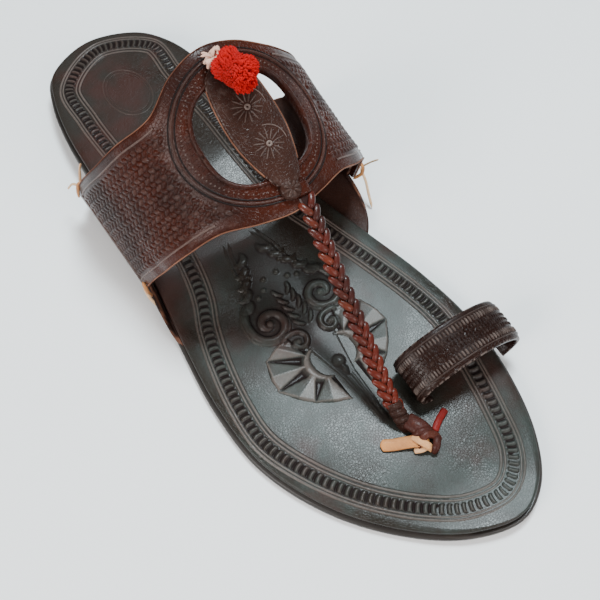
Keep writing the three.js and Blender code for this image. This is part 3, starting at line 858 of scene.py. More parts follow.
MOTIF_AXIS = 4.2
PATCH = (-22.5, 31.0, -15.0, 80.5)
PATCH_GRID = (138, 246)
Zone = namedtuple("Zone", "y half")
ZONE = [Zone(-16, 8.0), Zone(0, 9.5), Zone(9, 13.0), Zone(17, 20.5), Zone(28, 21.0), Zone(33, 15.0),
        Zone(41, 6.5), Zone(58, 3.0), Zone(80, 1.6)]
Scroll = namedtuple("Scroll", "side y size end turns start tail width rim")
SCROLLS = [
    Scroll(11.8, 25.0, 8.7, 1.3, 1.55, -85, 4.4, 3.0, 55),
    Scroll(7.3, 37.3, 4.9, 1.0, -1.15, -25, 1.8, 2.1, 0),
]
FAN_HUB = np.array([4.5, 49.0])
FAN_CORNERS = [(4.8, 66.5), (16.3, 60.0), (24.8, 49.0), (21.8, 36.8), (10.5, 33.5)]
FAN_EYE = 6.5

# A row of like strokes: the first path, the step to the next one, then how it is pressed.
Stroke = namedtuple("Stroke", "path step spans width height tone taper hollow")
STEM_LEAF = Stroke([(0.7, 33.0), (2.6, 31.3), (4.3, 28.4)], [(0, -3.7), (0, -3.7), (-0.2, -3.7)],
                   8, 1.5, 1.0, 0.1, 0.3, 0.7)
ROW_LEAF = Stroke([(18.6, 14.5), (16.2, 15.9), (13.4, 14.3), (13.0, 10.9)], (-2.3, -4.6),
                  8, 3.3, 1.1, -0.2, 0.4, 0.35)
LEAF_VEIN = Stroke([(18.0, 15.0), (15.6, 15.2), (13.8, 13.1)], (-2.3, -4.6), 8, 0.7, 1.25, 0.35, 0.3, 0)
EDGE_LINE = Stroke([(4.5, -15.5), (7.0, -7.0), (8.4, 1.0), (8.0, 7.0)], (2.2, 0), 10, 0.9, 0.6, 0.1, 0.2, 0)
LEAF_GROUPS = [(5, [STEM_LEAF]), (5, [ROW_LEAF, LEAF_VEIN])]
EDGE_GROUPS = [(2, [EDGE_LINE])]
LEAF_DOTS = [(9.0, 13.5), (5.6, 11.8), (11.8, 8.5), (3.0, 8.0), (7.0, 4.0)]
STROKE_STEP = 0.35
OVAL_SIDE = 3.5
OVAL_AT = 0.138
OVAL_HALVES = (9.5, 13.5)


class Relief:
    """A height field over a flat grid, raised by strokes and domes."""

    def __init__(self, x, y):
        self.x, self.y = np.meshgrid(x, y)
        self.height = np.zeros_like(self.x)
        self.tone = np.zeros_like(self.x)

    def stroke(self, path, width, height, tone=0.0, taper=0.0, hollow=0.0):
        """A rounded ridge along a path, with a pressed hollow beside it, darkened with painted shade."""
        path = np.asarray(path, float)
        path = resample(path, max(int(walk_length(path) / STROKE_STEP), 4))
        swell = swelling(len(path), taper, least=0.05, power=0.6)
        low, high = path.min(0) - 2 * width, path.max(0) + 2 * width
        near = (self.x > low[0]) & (self.x < high[0]) & (self.y > low[1]) & (self.y < high[1])
        gx, gy = self.x[near], self.y[near]
        if not len(gx):
            return
        away = np.hypot(gx[:, None] - path[None, :, 0], gy[:, None] - path[None, :, 1])
        away = away / (width / 2 * swell)
        ratio, best = away.min(axis=1), away.argmin(axis=1)
        moat = hollow * np.clip(1 - (ratio - 1) / 0.7, 0, 1) * (ratio > 1)
        self.height[near] = np.maximum(self.height[near] * (1 - moat), height * swell[best] * rounded(ratio))
        inside = np.clip(1.25 - ratio, 0, 1)
        self.tone[near] = self.tone[near] * (1 - inside) + tone * inside
        # The moat beside the ridge gets a negative tone: painted shade in the hollow.
        self.tone[near] = np.where(moat > 0.05, np.minimum(self.tone[near], -moat), self.tone[near])

    def dome(self, x, y, radius, height, tone=0.0):
        ratio = np.hypot(self.x - x, self.y - y) / radius
        self.height = np.maximum(self.height, height * rounded(ratio))
        self.tone = np.where(ratio < 1, tone, self.tone)


def mirrored(side, points):
    points = np.asarray(points, float)
    return np.stack([MOTIF_AXIS + side * points[:, 0], points[:, 1]], 1)


class SANDAL_OT_tooling(Operator):
    """Stamped border and scroll motif on the insole"""
    bl_idname = "sandal.tooling"
    bl_label = "Insole tooling"

    def execute(self, context):
        shape = Shape(context.scene.sandal_sizes)
        top = SKINS["insole_leather"]
        self.border(shape, top)
        self.motif(shape, top)
        self.heel_oval(shape, top)
        return {"FINISHED"}

    def border(self, shape, top):
        """Two rows of lines with a row of curved stamps between them, all the way round."""
        line = shape.outline(BORDER, BORDER_HEEL, BORDER_TOE)
        around = walk_length(np.vstack([line, line[:1]]))
        count = int(round(around / STAMP_PITCH)) * STAMP_STEPS
        line = resample(line, count, closed=True)
        along = unit(np.roll(line, -4, axis=0) - np.roll(line, 4, axis=0))
        inward = np.stack([-along[:, 1], along[:, 0]], 1)
        inward *= np.sign(np.sum(inward * (line.mean(axis=0) - line), axis=1))[:, None]
        depth = np.linspace(BORDER_FROM, BORDER_TO, BORDER_COLUMNS)
        place = np.arange(count)
        bow = STAMP_BOW * (1 - ((depth - STAMP_MIDDLE) / 2.0) ** 2)
        phase = (place[:, None] / STAMP_STEPS + bow) % 1.0
        bar = rounded((phase - 0.5) / STAMP_HALF)
        ends = smooth_step(depth, 1.7, 2.3) * (1 - smooth_step(depth, 5.3, 5.9))
        rise = STAMP_HEIGHT * bar * ends
        # Stamp tops get a light tone, a painted highlight, and the gaps between them a dark one, painted
        # shade.
        tone = (1.5 * bar - 1.15) * ends
        for row in BORDER_LINES:
            ridge = rounded((depth - row.at) / row.half)
            rise = np.maximum(rise, row.height * ridge)
            # The tops of the lines carry a painted highlight.
            tone = np.where(ridge > 0.3, LINE_TONE, tone)
            # Beside each line a dark groove is painted: painted shade, with no dip in the surface.
            groove = np.exp(-((depth - row.at - GROOVE_AT) / GROOVE_HALF) ** 2)
            tone = tone - GROOVE_TONE * groove * (ridge < 0.1)
        edge = smooth_step(depth, BORDER_FROM, -0.4) * (1 - smooth_step(depth, 8.6, BORDER_TO))
        rise = rise + 0.05 * (2 * edge - 1)
        # This varies how strong the painted highlight and shade are along the border.
        painted_light_share = 0.5 + 0.5 * np.sin(place * 0.021) * np.sin(place * 0.0083 + 1)
        tone = tone * (0.8 + 0.3 * painted_light_share[:, None])
        flat = line[:, None] + inward[:, None] * depth[:, None]
        points, _ = shape.on_floor(flat[..., 0], flat[..., 1], rise)
        bag = Bag()
        bag.grid(np.concatenate([points, points[:1]]), np.concatenate([tone, tone[:1]]), flip=True)
        settle(bag.build("insole_border", shape, top, weld=0.0005), "insole_leather")

    def motif(self, shape, top):
        """Scrolls, leaves and a pleated half star, mirrored about one line along the sole."""
        left, right, rear, front = PATCH
        relief = Relief(np.linspace(left, right, PATCH_GRID[0]), np.linspace(rear, front, PATCH_GRID[1]))
        for side in (1, -1):
            self.fan(relief, side)
            self.scrolls(relief, side)
            self.rows(relief, side, LEAF_GROUPS)
            for k, (x, y) in enumerate(LEAF_DOTS):
                relief.dome(MOTIF_AXIS + side * x, y, 0.9 + 0.1 * (k % 2), 0.8, 0.35)
            self.rows(relief, side, EDGE_GROUPS)
        relief.dome(MOTIF_AXIS, 52.0, 2.5, 1.0, -0.2)
        relief.stroke([(MOTIF_AXIS, 53.0), (MOTIF_AXIS, 58.5)], 2.2, 0.8, -0.2, taper=0.5)
        for side in (-1, 1):
            relief.stroke(mirrored(side, [(0.9, 58.0), (0.7, 79.0)]), 0.6, 0.35, 0.6, 0.1)
        wide = np.interp(relief.y, [row.y for row in ZONE], [row.half for row in ZONE])
        inside = 1 - smooth_step(np.abs(relief.x - MOTIF_AXIS) / wide, 0.86, 1.06)
        zone = inside * smooth_step(relief.y, -14.0, -3.0)
        relief.tone = relief.tone - 0.5 * zone * (1 - 0.9 * smooth_step(relief.height, 0.3, 0.9))
        rims = [relief.x - left, right - relief.x, relief.y - rear, front - relief.y]
        faded = smooth_step(np.minimum.reduce(rims), 0.0, 1.5)
        cover = smooth_step(relief.height + zone, 0.0, 0.14) * faded
        level = 0.25 * cover - 0.22 + 0.22 * zone + 0.8 * relief.height
        points, _ = shape.on_floor(relief.x, relief.y, level)
        bag = Bag()
        bag.grid(points, relief.tone)
        settle(bag.build("insole_motif", shape, top), "insole_leather")

    def fan(self, relief, side):
        """Pleats that fan out from a hub to the corners of a half star."""
        across = side * (relief.x - MOTIF_AXIS) - FAN_HUB[0]
        up = relief.y - FAN_HUB[1]
        reach = np.hypot(across, up)
        turn = np.degrees(np.arctan2(up, across))
        corners = np.array(FAN_CORNERS) - FAN_HUB
        angles = np.degrees(np.arctan2(corners[:, 1], corners[:, 0]))
        order = np.argsort(angles)
        angles, corners = angles[order], corners[order]
        for low, high, a, b in zip(angles, angles[1:], corners, corners[1:]):
            inside = (turn >= low) & (turn < high) & (side * (relief.x - MOTIF_AXIS) > 0)
            square = unit(np.array([b[1] - a[1], a[0] - b[0]]))
            t = (turn - low) / (high - low)
            bulge = abs(a @ square) * (1 + 0.05 * np.sin(np.pi * t))
            far = abs(across * square[0] + up * square[1]) / bulge
            off = np.minimum(t, 1 - t) * np.radians(high - low) * reach
            wedge = smooth_step(2.9 * (1 - far) + 0.30 - off, 0.0, 0.35) * (far > 0.36)
            pleat = 0.75 + 0.45 * (1 - np.abs(2 * t - 1)) - 0.60 * wedge
            body = pleat * smooth_step(1.01 - far, 0.0, 0.04) * (inside & (far < 1) & (reach > FAN_EYE))
            relief.height = np.maximum(relief.height, body)
            # One half of each pleat gets a lighter tone than the other, lit and shaded sides painted in, and
            # the sunken wedges between pleats a dark tone, painted shade in the folds.
            relief.tone = np.where(body > 0, np.where(t > 0.5, 0.50, 0.22) - 1.6 * wedge, relief.tone)
        relief.stroke(mirrored(side, FAN_HUB + corners), 0.7, 0.7, 0.6)
        arc = np.radians(np.linspace(-82, 88, 30))
        relief.stroke(mirrored(side, FAN_HUB + 6.6 * circle(arc)), 5.0, 1.35, 0.55, taper=0.45)

    def scrolls(self, relief, side):
        for row in SCROLLS:
            t = np.linspace(0, 1, 110)
            middle = np.array([row.side, row.y])
            around = circle(np.radians(row.start + 360 * row.turns * t))
            tail = row.tail * np.clip(1 - t / 0.16, 0, 1) ** 2
            radius = (row.size + (row.end - row.size) * t + tail)[:, None]
            relief.stroke(mirrored(side, middle + radius * around), row.width, 1.35, 0.05, 0.10, 0.6)
            relief.dome(MOTIF_AXIS + side * row.side, row.y, row.end * 1.1, 1.3, 0.2)
            if row.rim:
                outer = middle + ((radius + 1.9) * around)[:row.rim]
                relief.stroke(mirrored(side, outer), 1.0, 0.8, 0.3, taper=0.2)

    def rows(self, relief, side, groups):
        """Rows of like strokes, one group after the other."""
        for count, strokes in groups:
            for k in range(count):
                for row in strokes:
                    bend = catmull(np.array(row.path) + k * np.array(row.step), False, row.spans)
                    relief.stroke(mirrored(side, bend), *row[3:])

    def heel_oval(self, shape, top):
        """A plain pressed oval on the heel seat."""
        bag = Bag()
        oval = circle(np.linspace(0, 2 * np.pi, 90)) * OVAL_HALVES
        for scale, width in ((1.0, 0.9), (0.86, 0.5)):
            x, y = (scale * oval + [OVAL_SIDE, shape.y(OVAL_AT)]).T
            bag.ribbon(*shape.on_floor(x, y), width, 0.28, 0.25)
        settle(bag.build("heel_oval", shape, top), "insole_leather")


CRESCENT = (18.5, 18, 2.6)
CRESCENT_COUNT = 140
CRESCENT_HALF = 17.4
CRESCENT_INNER = 16.8
CRESCENT_DEPTHS = (-6.0, 6.0)
LEAF_REAR = -22.6
LEAF_FRONT = 22.8
LEAF_ROUND = 23.2
LEAF_HIGH = 2.0
LEAF_DOME = 1.0


def leaf_half(along):
    return hermite(LEAF, "half", along)


class SANDAL_OT_band(Operator):
    """Instep band with its two crescent openings and the raised leaf"""
    bl_idname = "sandal.band"
    bl_label = "Instep band"

    def execute(self, context):
        shape, paint = ready(context)
        skin = leather("band_leather", paint.band, paint.band_dark, paint.bright)
        share = np.linspace(0, 1, 61)[:, None]
        angle = np.linspace(0, 180, 201)[None, :]
        half = shape.band_wall / 2
        roll = 0.35 * (1 - smooth_step(np.minimum(share, 1 - share), 0.0, 0.035))
        bag = Bag()
        bag.shell(shape.band(share, angle, half - roll)[0], shape.band(share, angle, -half)[0])
        band = bag.build("instep_band", shape, skin, weld=0.01)
        cut(band, [self.crescent(shape, skin, side) for side in (-1, 1)])
        soften(band, 0.3, 40)
        settle(band, "band_leather", "upper")
        brown = leather("leaf_leather", paint.leaf, paint.band_dark, paint.bright)
        along = np.linspace(LEAF_REAR, LEAF_FRONT, 70)[:, None]
        across = np.linspace(-1, 1, 33)[None, :]
        ends = np.clip(1 - (np.abs(along) / LEAF_ROUND) ** 10, 0, 1)
        dome = LEAF_HIGH + LEAF_DOME * (1 - across**2) * ends - 0.7 * smooth_step(np.abs(across), 0.93, 1.0)
        side = across * (leaf_half(along) + 0.2) * ends**0.4
        leaf = Bag()
        top, low = (shape.medal(side, along, lift)[0] for lift in (half + dome, half * 0.6))
        leaf.shell(top, low, side_tone=0.8)
        settle(leaf.build("raised_leaf", shape, brown, weld=0.005), "band_leather")
        return {"FINISHED"}

    def crescent(self, shape, skin, side):
        """A closed prism between the leaf and the rim of one opening."""
        rim = np.stack(ring_path(*CRESCENT, CRESCENT_COUNT), 1)
        arc = rim[(rim[:, 0] * side > leaf_half(rim[:, 1])) & (np.abs(rim[:, 1]) < CRESCENT_HALF)]
        arc = arc[np.argsort(np.arctan2(arc[:, 1], side * arc[:, 0]))]
        steps = np.linspace(CRESCENT_INNER, -CRESCENT_INNER, 40)
        x, y = np.vstack([arc, np.stack([side * leaf_half(steps), steps], 1)]).T
        prism = Bag()
        prism.grid(np.stack([shape.medal(x, y, depth)[0] for depth in CRESCENT_DEPTHS]), close=True)
        prism.faces.append(list(range(len(x)))[::-1])
        prism.faces.append(list(range(len(x), 2 * len(x))))
        return prism.build("crescent", shape, skin, WELD, smooth=False)


MedalRing = namedtuple("MedalRing", "wide long power width height tone")
# The two low rings with a tone of -0.8 are dark lines beside the raised rim: painted shade of grooves.
MEDAL_RINGS = [
    MedalRing(19.2, 18.7, 2.6, 1.5, 0.7, 0.12),
    MedalRing(26.0, 25.4, 2.0, 0.9, 0.55, 0.24),
    MedalRing(25.0, 24.4, 2.0, 0.8, 0.12, -0.8),
    MedalRing(27.0, 26.4, 2.0, 0.8, 0.12, -0.8),
]
DOT_RING = (23.2, 22.6, 2.0, 92)
DOT_HALF = 0.34
TICK_COUNT = 64
TICK_FROM = 20.6
TICK_TO = 21.9
TICK_OVAL = 0.97
Weave = namedtuple("Weave", "columns rows first span start pitch half lean bow")
WEAVE = Weave(17, 28, 0.13, 0.74, 6.5, 2.75, 1.42, 0.016, 0.006)
WEAVE_OVAL = (28.2, 27.6)
LINE_OVAL = (27.4, 26.8)
LINE_SHARES = (0.075, 0.925)
LINE_ANGLES = (4.0, 176.0)
Flower = namedtuple("Flower", "along size")
FLOWERS = [Flower(-5.7, 5.3), Flower(7.9, 5.1)]
FLOWER_RAYS = 14
FLOWER_HIGH = 2.95
FLOWER_ROUND = 9.2
ROSETTE = np.array([1.0, 24.0])
ROSETTE_DISC = [(3.7, -0.2), (3.6, 1.7), (3.1, 2.2), (0.05, 2.45)]
ROSETTE_HIGH = 2.3


class SANDAL_OT_stamps(Operator):
    """Stamped relief of the band: rims, ticks, dots, flowers, weave and cut edges"""
    bl_idname = "sandal.stamps"
    bl_label = "Band stamps"

    def execute(self, context):
        shape, paint = ready(context)
        half = shape.band_wall / 2
        band, leaf = SKINS["band_leather"], SKINS["leaf_leather"]
        settle(self.rims(shape, half).build("medallion_rims", shape, band), "band_leather")
        settle(self.weave(shape, half).build("band_weave", shape, band), "band_leather")
        settle(self.flowers(shape, half).build("flower_stamps", shape, leaf), "band_leather")
        skin = leather("cut_edge", paint.cut_edge, paint.band, paint.lace, rough=0.6)
        settle(self.edges(shape, half).build("cut_edges", shape, skin), "band_leather")
        return {"FINISHED"}

    def rims(self, shape, half):
        bag = Bag()
        for row in MEDAL_RINGS:
            x, y = (np.append(v, v[:2]) for v in ring_path(row.wide, row.long, row.power))
            bag.ribbon(*shape.medal(x, y, half), row.width, row.height, row.tone)
        steps = np.linspace(-DOT_HALF, DOT_HALF, 4)
        for x, y in zip(*ring_path(*DOT_RING)):
            bag.ribbon(*shape.medal(x + steps, y, half), 0.62, shape.emboss * 0.9, 0.45, taper=0.4)
        radius = np.linspace(TICK_FROM, TICK_TO, 5)
        for k in range(TICK_COUNT):
            across, along = circle(2 * np.pi * k / TICK_COUNT)
            place = shape.medal(radius * across, radius * TICK_OVAL * along, half)
            bag.ribbon(*place, 0.8, shape.emboss * 0.8, 0.15, taper=0.3)
        return bag

    def weave(self, shape, half):
        bag = Bag()
        steps = np.linspace(-1.0, 1.0, 7)
        for side in (0, 1):
            for col in range(WEAVE.columns):
                odd = col % 2
                share = WEAVE.first + WEAVE.span * col / (WEAVE.columns - 1)
                lean = share + WEAVE.lean * (2 * odd - 1) * steps + WEAVE.bow * steps**2
                for row in range(WEAVE.rows):
                    base = WEAVE.start + WEAVE.pitch * (row + 0.5 * odd)
                    angle = (180 - base if side else base) + WEAVE.half * steps
                    points, normal = shape.band(lean, angle, half)
                    if shape.in_medal(points, *WEAVE_OVAL).any():
                        continue
                    tone = 0.06 + 0.16 * math.sin(row * 1.7 + col * 2.9)
                    bag.ribbon(points, normal, 1.9, shape.emboss * 1.25, tone, taper=0.3)
        height = shape.emboss * 0.9
        for share in LINE_SHARES:
            for ends in ((3, 60), (177, 120)):
                points, normal = shape.band(share, np.linspace(*ends, 60), half)
                outside = ~shape.in_medal(points, *LINE_OVAL)
                bag.ribbon(points[outside], normal[outside], 0.8, height, 0.45)
        for angle in LINE_ANGLES:
            bag.ribbon(*shape.band(np.linspace(*LINE_SHARES, 40), angle, half), 0.8, height, 0.45)
        return bag

    def flowers(self, shape, half):
        """Two rayed flowers on the leaf and the rosette in front of it."""
        bag = Bag()
        top = half + FLOWER_HIGH

        def mark(middle, points, level, *look, taper=0.0):
            x, y = (middle + points).T
            bag.ribbon(*shape.medal(x, y, level), *look, taper=taper)
        for row in FLOWERS:
            middle = np.array([0.0, row.along])
            for k in range(FLOWER_RAYS):
                ray = np.linspace(0.26, 1.0, 7)[:, None] * row.size * circle(2 * np.pi * k / FLOWER_RAYS)
                level = top - (ray[:, 0] / FLOWER_ROUND) ** 2
                mark(middle, ray, level, 0.12 * row.size, shape.emboss * 0.8, 0.36, taper=0.35)
            eye = 0.13 * row.size * circle(np.linspace(0, 2 * np.pi, 30))
            mark(middle, eye, top, 0.9, shape.emboss, 0.7)
            arc = 1.22 * row.size * circle(np.radians(np.linspace(170, 265, 22)))
            level = top - (arc[:, 0] / FLOWER_ROUND) ** 2
            mark(middle, arc, level, 0.5, shape.emboss * 0.6, 0.5, taper=0.3)
        around = circle(np.linspace(0, 2 * np.pi, 40))
        disc = [shape.medal(*(ROSETTE + radius * around).T, half + high)[0] for radius, high in ROSETTE_DISC]
        bag.grid(np.stack(disc), -0.1)
        for k in range(8):
            petal = np.linspace(0.6, 2.9, 6)[:, None] * circle(2 * np.pi * k / 8)
            mark(ROSETTE, petal, half + ROSETTE_HIGH, 1.4, 0.55, 0.22, taper=0.5)
        return bag

    def edges(self, shape, half):
        """Undyed cut edges of the band and of its openings."""
        bag = Bag()
        for share, way in ((0.0, -1), (1.0, 1)):
            points, normal = shape.band(share, np.linspace(0, 180, 160), 0.3)
            bag.tube(points + [0, 0.05 * way, 0], 0.5, 1.5, normal, 6)
        for angle in (0.0, 180.0):
            points, normal = shape.band(np.linspace(0, 1, 50), angle)
            bag.tube(points, 0.5, 1.7, normal, 6)
        along = np.linspace(-16.4, 16.4, 50)
        for side in (-1, 1):
            points, normal = shape.medal(side * (leaf_half(along) + 0.15), along, half + 1.0)
            bag.tube(points, 0.45, 2.0, normal, 6)
        return bag


BRAID_COUNT = 560
BRAID_PITCH = 4.4
BRAID_FIRST = 0.045
BRAID_LAST = 0.885
STRAND_WIDE = 2.5
STRAND_THICK = 1.15
CORE_WIDE = 4.9
CORE_THICK = 2.0
CORE_DROP = 0.45
TONGUE_END = 0.055
WRAP_START = 0.865
WRAP_TURNS = 4.5


class SANDAL_OT_braid(Operator):
    """Plaited strap from the band to the toe post"""
    bl_idname = "sandal.braid"
    bl_label = "Braid"

    def execute(self, context):
        shape, paint = ready(context)
        colours = (paint.braid, paint.band_dark, paint.braid_light)
        dark = leather("braid_leather", *colours, rough=0.38, coat=0.25)
        line = shape.braid_line(BRAID_COUNT)
        along = unit(np.gradient(line, axis=0))
        across = unit(np.cross(along, np.array([0, 0, 1.0])))
        out = unit(np.cross(across, along))
        t = np.linspace(0, 1, BRAID_COUNT)
        pitch = BRAID_PITCH / walk_length(line)
        wide = shape.braid_width / 2 - 0.8
        u = np.linspace(0, 1, 11)
        bag = Bag()
        for k in range(int((BRAID_LAST - BRAID_FIRST) / pitch * 2)):
            side = 1 if k % 2 else -1
            share = BRAID_FIRST + (0.5 * k + 1.25 * u) * pitch
            x = side * (wide * np.cos(0.56 * np.pi * u) + 0.2)
            z = 1.15 * np.sin(np.pi * np.clip(u * 0.62 + 0.05, 0, 1)) - 0.75 * (1 - u) ** 2
            middle, beside, above = (between(np.clip(share, 0, 1), t, rows) for rows in (line, across, out))
            upper_part = 1 - smooth_step(share[0], 0.45, 0.60)
            light = 0.04 + upper_part * (0.12 if side > 0 else -0.22) + 0.16 * math.sin(2.3 * k)
            path = middle + beside * x[:, None] + above * z[:, None]
            bag.tube(path, STRAND_WIDE, STRAND_THICK, above, 8, light, taper=0.16)
        plait = (t > BRAID_FIRST) & (t < BRAID_LAST + 0.01)
        core = (line - CORE_DROP * out)[plait]
        # The core under the strands gets a dark tone: painted shade in the gaps between the strands.
        bag.tube(core, CORE_WIDE, CORE_THICK, out[plait], 10, -0.7, taper=0.01)
        settle(bag.build("braid_strands", shape, dark), "band_leather")
        tongue = Bag()
        first = t < TONGUE_END
        tongue.tube(line[first], 6.2, 3.3, out[first], 14, -0.1, taper=0.12)
        settle(tongue.build("braid_end", shape, SKINS["band_leather"]), "band_leather")
        last = t > WRAP_START
        foot = line[last]
        wrap = Bag()
        wrap.tube(foot, 5.6, 3.8, out[last], 14)
        walk = np.linspace(0, 1, 160)
        centre = between(walk * (len(foot) - 1), np.arange(len(foot)), foot)
        turn = circle(walk * 2 * np.pi * WRAP_TURNS)
        coil = centre + turn[:, :1] * across[last][0] * 2.7 + turn[:, 1:] * out[last][0] * 1.8
        wrap.tube(coil, 2.6, 0.7, coil - centre, 8, 0.1)
        settle(wrap.build("braid_wrap", shape, SKINS["leaf_leather"]), "band_leather")
        return {"FINISHED"}


FLAP_STATIONS = 61
TAB_STEPS = 8
TAB_MARGIN = 2


class SANDAL_OT_flaps(Operator):
    """Side flaps of thin leather between the insole and the band"""
    bl_idname = "sandal.flaps"
    bl_label = "Side flaps"

    def execute(self, context):
        shape, paint = ready(context)
        skin = leather("flap_leather", paint.leaf, paint.band_dark, paint.cut_edge, rough=0.5)
        for name, row in FLAPS.items():
            bag = self.flap(shape, row)
            settle(bag.build(name + "_leather", shape, skin, weld=0.005), "band_leather", name)
        return {"FINISHED"}

    def on_band(self, shape, row, t, angle):
        """A point on the inner face of the band, mirrored to the lateral side."""
        turned = 180 - angle if row.side > 0 else angle
        rear, front = (shape.band_y(share, turned) for share in (0.0, 1.0))
        lift = -(shape.band_wall / 2 + shape.fit_gap + shape.flap_thick / 2)
        y = rear + TAB_MARGIN + (front - rear - 2 * TAB_MARGIN) * t
        return shape.arch(y, turned, lift)[0] * [row.side, 1, 1]

    def flap(self, shape, row):
        sections = []
        s = np.linspace(0, 1, 12)[:, None]
        for t in np.linspace(0, 1, FLAP_STATIONS):
            y = shape.y(row.rear + (row.front - row.rear) * t)
            edge = shape.edge(y, row.side) * row.side
            level = shape.outsole_top(y) + shape.fit_gap / 2
            low = self.on_band(shape, row, t, 0.0)
            a = np.array([edge - 1.5, y, level])
            bow = 0.5 + (FLAP_BOW - 0.5) * t
            b = np.array([max(edge, low[0]) + 0.2, y + (low[1] - y) * bow, level])
            bend = (1 - s) ** 2 * a + 2 * s * (1 - s) * b + s**2 * low
            tab = [self.on_band(shape, row, t, row.top * k / TAB_STEPS) for k in range(1, TAB_STEPS + 1)]
            sections.append(np.vstack([[edge - 9, y, level], [edge - 4, y, level], bend, tab]))
        sections = np.array(sections)
        wave = 0.25 * np.sin(np.linspace(0, 9, len(sections)))[:, None]
        fade = np.concatenate([np.zeros(6), np.ones(sections.shape[1] - 14), np.zeros(8)])[None]
        along = np.gradient(sections, axis=1)
        normal = unit(np.stack([along[..., 2], np.zeros(along.shape[:2]), -along[..., 0]], -1))
        sections = sections + normal * (wave * fade)[..., None]
        reach = normal * shape.flap_thick / 2
        mirror = np.array([row.side, 1, 1])
        bag = Bag()
        bag.shell((sections + reach) * mirror, (sections - reach) * mirror, 0.9, 0.9, turned=True)
        return bag


RING_SIDE = -29.8
RING_HALF = 21.2
RING_CENTRE = 14.0
RING_RISE = 11.5
RING_SKEW = 2.6
RING_LEAN = 1.2
RING_WALL = 1.8
RING_REAR = 0.750
RING_FRONT = 0.811
DashRow = namedtuple("DashRow", "at reach light")
DASH_ROWS = [DashRow(0.22, 0.075, 0.42), DashRow(0.38, 0.045, 0.14), DashRow(0.50, 0.045, 0.10),
             DashRow(0.62, 0.045, 0.14), DashRow(0.78, 0.075, 0.42)]
DASH_COUNT = 46
DASH_START = 4
DASH_PITCH = 3.78
RING_LINES = (0.12, 0.88)


class SANDAL_OT_ring(Operator):
    """Toe ring with its rows of stamped dashes"""
    bl_idname = "sandal.ring"
    bl_label = "Toe ring"

    def execute(self, context):
        shape, paint = ready(context)
        skin = leather("ring_leather", paint.ring, paint.band_dark, paint.bright)
        half = RING_WALL / 2
        share = np.linspace(0, 1, 25)[:, None]
        angle = np.linspace(-40, 220, 131)[None, :]
        level = half - 0.3 * (1 - smooth_step(np.minimum(share, 1 - share), 0, 0.06))
        sway = 0.25 * np.sin(angle * 0.06) * np.sin(share * 4)
        outer, inner = (self.surface(shape, share, angle, way * level + sway)[0] for way in (1, -1))
        bag = Bag()
        bag.shell(outer, inner, 0.7, 0.7)
        settle(bag.build("toe_ring_leather", shape, skin, weld=0.005), "band_leather", "toe_ring")
        stamps = Bag()
        for row in DASH_ROWS:
            across = row.at + np.linspace(-row.reach, row.reach, 5)
            for k in range(DASH_COUNT):
                # The dashes' light tone is a painted highlight on them, stronger on the outer rows.
                tone = row.light + 0.10 * math.sin(1.3 * k + 9 * row.at)
                place = self.surface(shape, across, DASH_START + DASH_PITCH * k, half)
                stamps.ribbon(*place, 0.85, shape.emboss * 1.25, tone, taper=0.2)
        for at in RING_LINES:
            place = self.surface(shape, at, np.linspace(-30, 210, 120), half)
            stamps.ribbon(*place, 0.7, shape.emboss, 0.28)
        settle(stamps.build("toe_ring_stamps", shape, skin), "band_leather")
        return {"FINISHED"}

    def surface(self, shape, share, angle, lift):
        """Points and outward directions of the ring's middle layer."""
        share, turn = np.broadcast_arrays(share, np.radians(angle))
        x = RING_SIDE - RING_HALF * np.cos(turn)
        y = shape.y(RING_REAR + (RING_FRONT - RING_REAR) * share) + RING_SKEW * (1 + np.cos(turn)) / 2
        z = RING_CENTRE + RING_RISE * np.sin(turn) + RING_LEAN * (1 - 2 * share)
        normal = [-RING_RISE * np.cos(turn), np.zeros_like(turn), RING_HALF * np.sin(turn)]
        normal = unit(np.stack(normal, -1))
        return np.stack([x, y, z], -1) + normal * np.asarray(lift, float)[..., None], normal


# Leather ends: side in mm, share of the sole's length and height over the insole in mm.
Strap = namedtuple("Strap", "path wide thick tone taper", defaults=[0.06])
LACE_KNOT = [
    Strap([(12.2, 0.820, 0.9), (8.5, 0.829, 1.2), (4.0, 0.838, 1.9), (0.2, 0.848, 2.9), (-1.2, 0.857, 1.6)],
          4.4, 1.3, 0.1),
    Strap([(1.6, 0.835, 2.6), (0.8, 0.846, 3.9), (-0.6, 0.858, 3.4), (-1.8, 0.864, 1.0)], 2.8, 1.1, 0.35),
    Strap([(3.8, 0.851, 0.7), (1.2, 0.857, 2.2), (-1.6, 0.858, 3.0)], 2.2, 1.0, 0.5),
]
KNOT_WRAPS = [
    Strap([(-0.4, 0.812, 2.2), (-1.6, 0.824, 3.2), (-2.6, 0.836, 3.4), (-3.2, 0.848, 2.4)],
          6.4, 3.2, 0.1, 0.12),
    Strap([(-5.6, 0.862, 0.8), (-5.0, 0.852, 3.2), (-2.4, 0.846, 4.2), (0.4, 0.849, 3.4), (1.0, 0.856, 1.2)],
          3.0, 1.6, 0.25),
    Strap([(-6.2, 0.846, 1.0), (-4.6, 0.858, 3.4), (-2.4, 0.866, 3.0), (-0.8, 0.866, 1.0)], 2.8, 1.5, -0.2),
    Strap([(2.0, 0.838, 1.2), (-0.8, 0.838, 4.4), (-4.2, 0.842, 4.0), (-6.0, 0.846, 1.4)], 2.6, 1.5, 0.0),
]
RED_END = [
    Strap([(-15.0, 0.832, 1.2), (-12.0, 0.836, 1.9), (-9.0, 0.841, 2.6), (-6.0, 0.848, 2.6)],
          2.7, 1.3, 0.1, 0.05),
]
STRAP_LEVEL_AT = 0.82

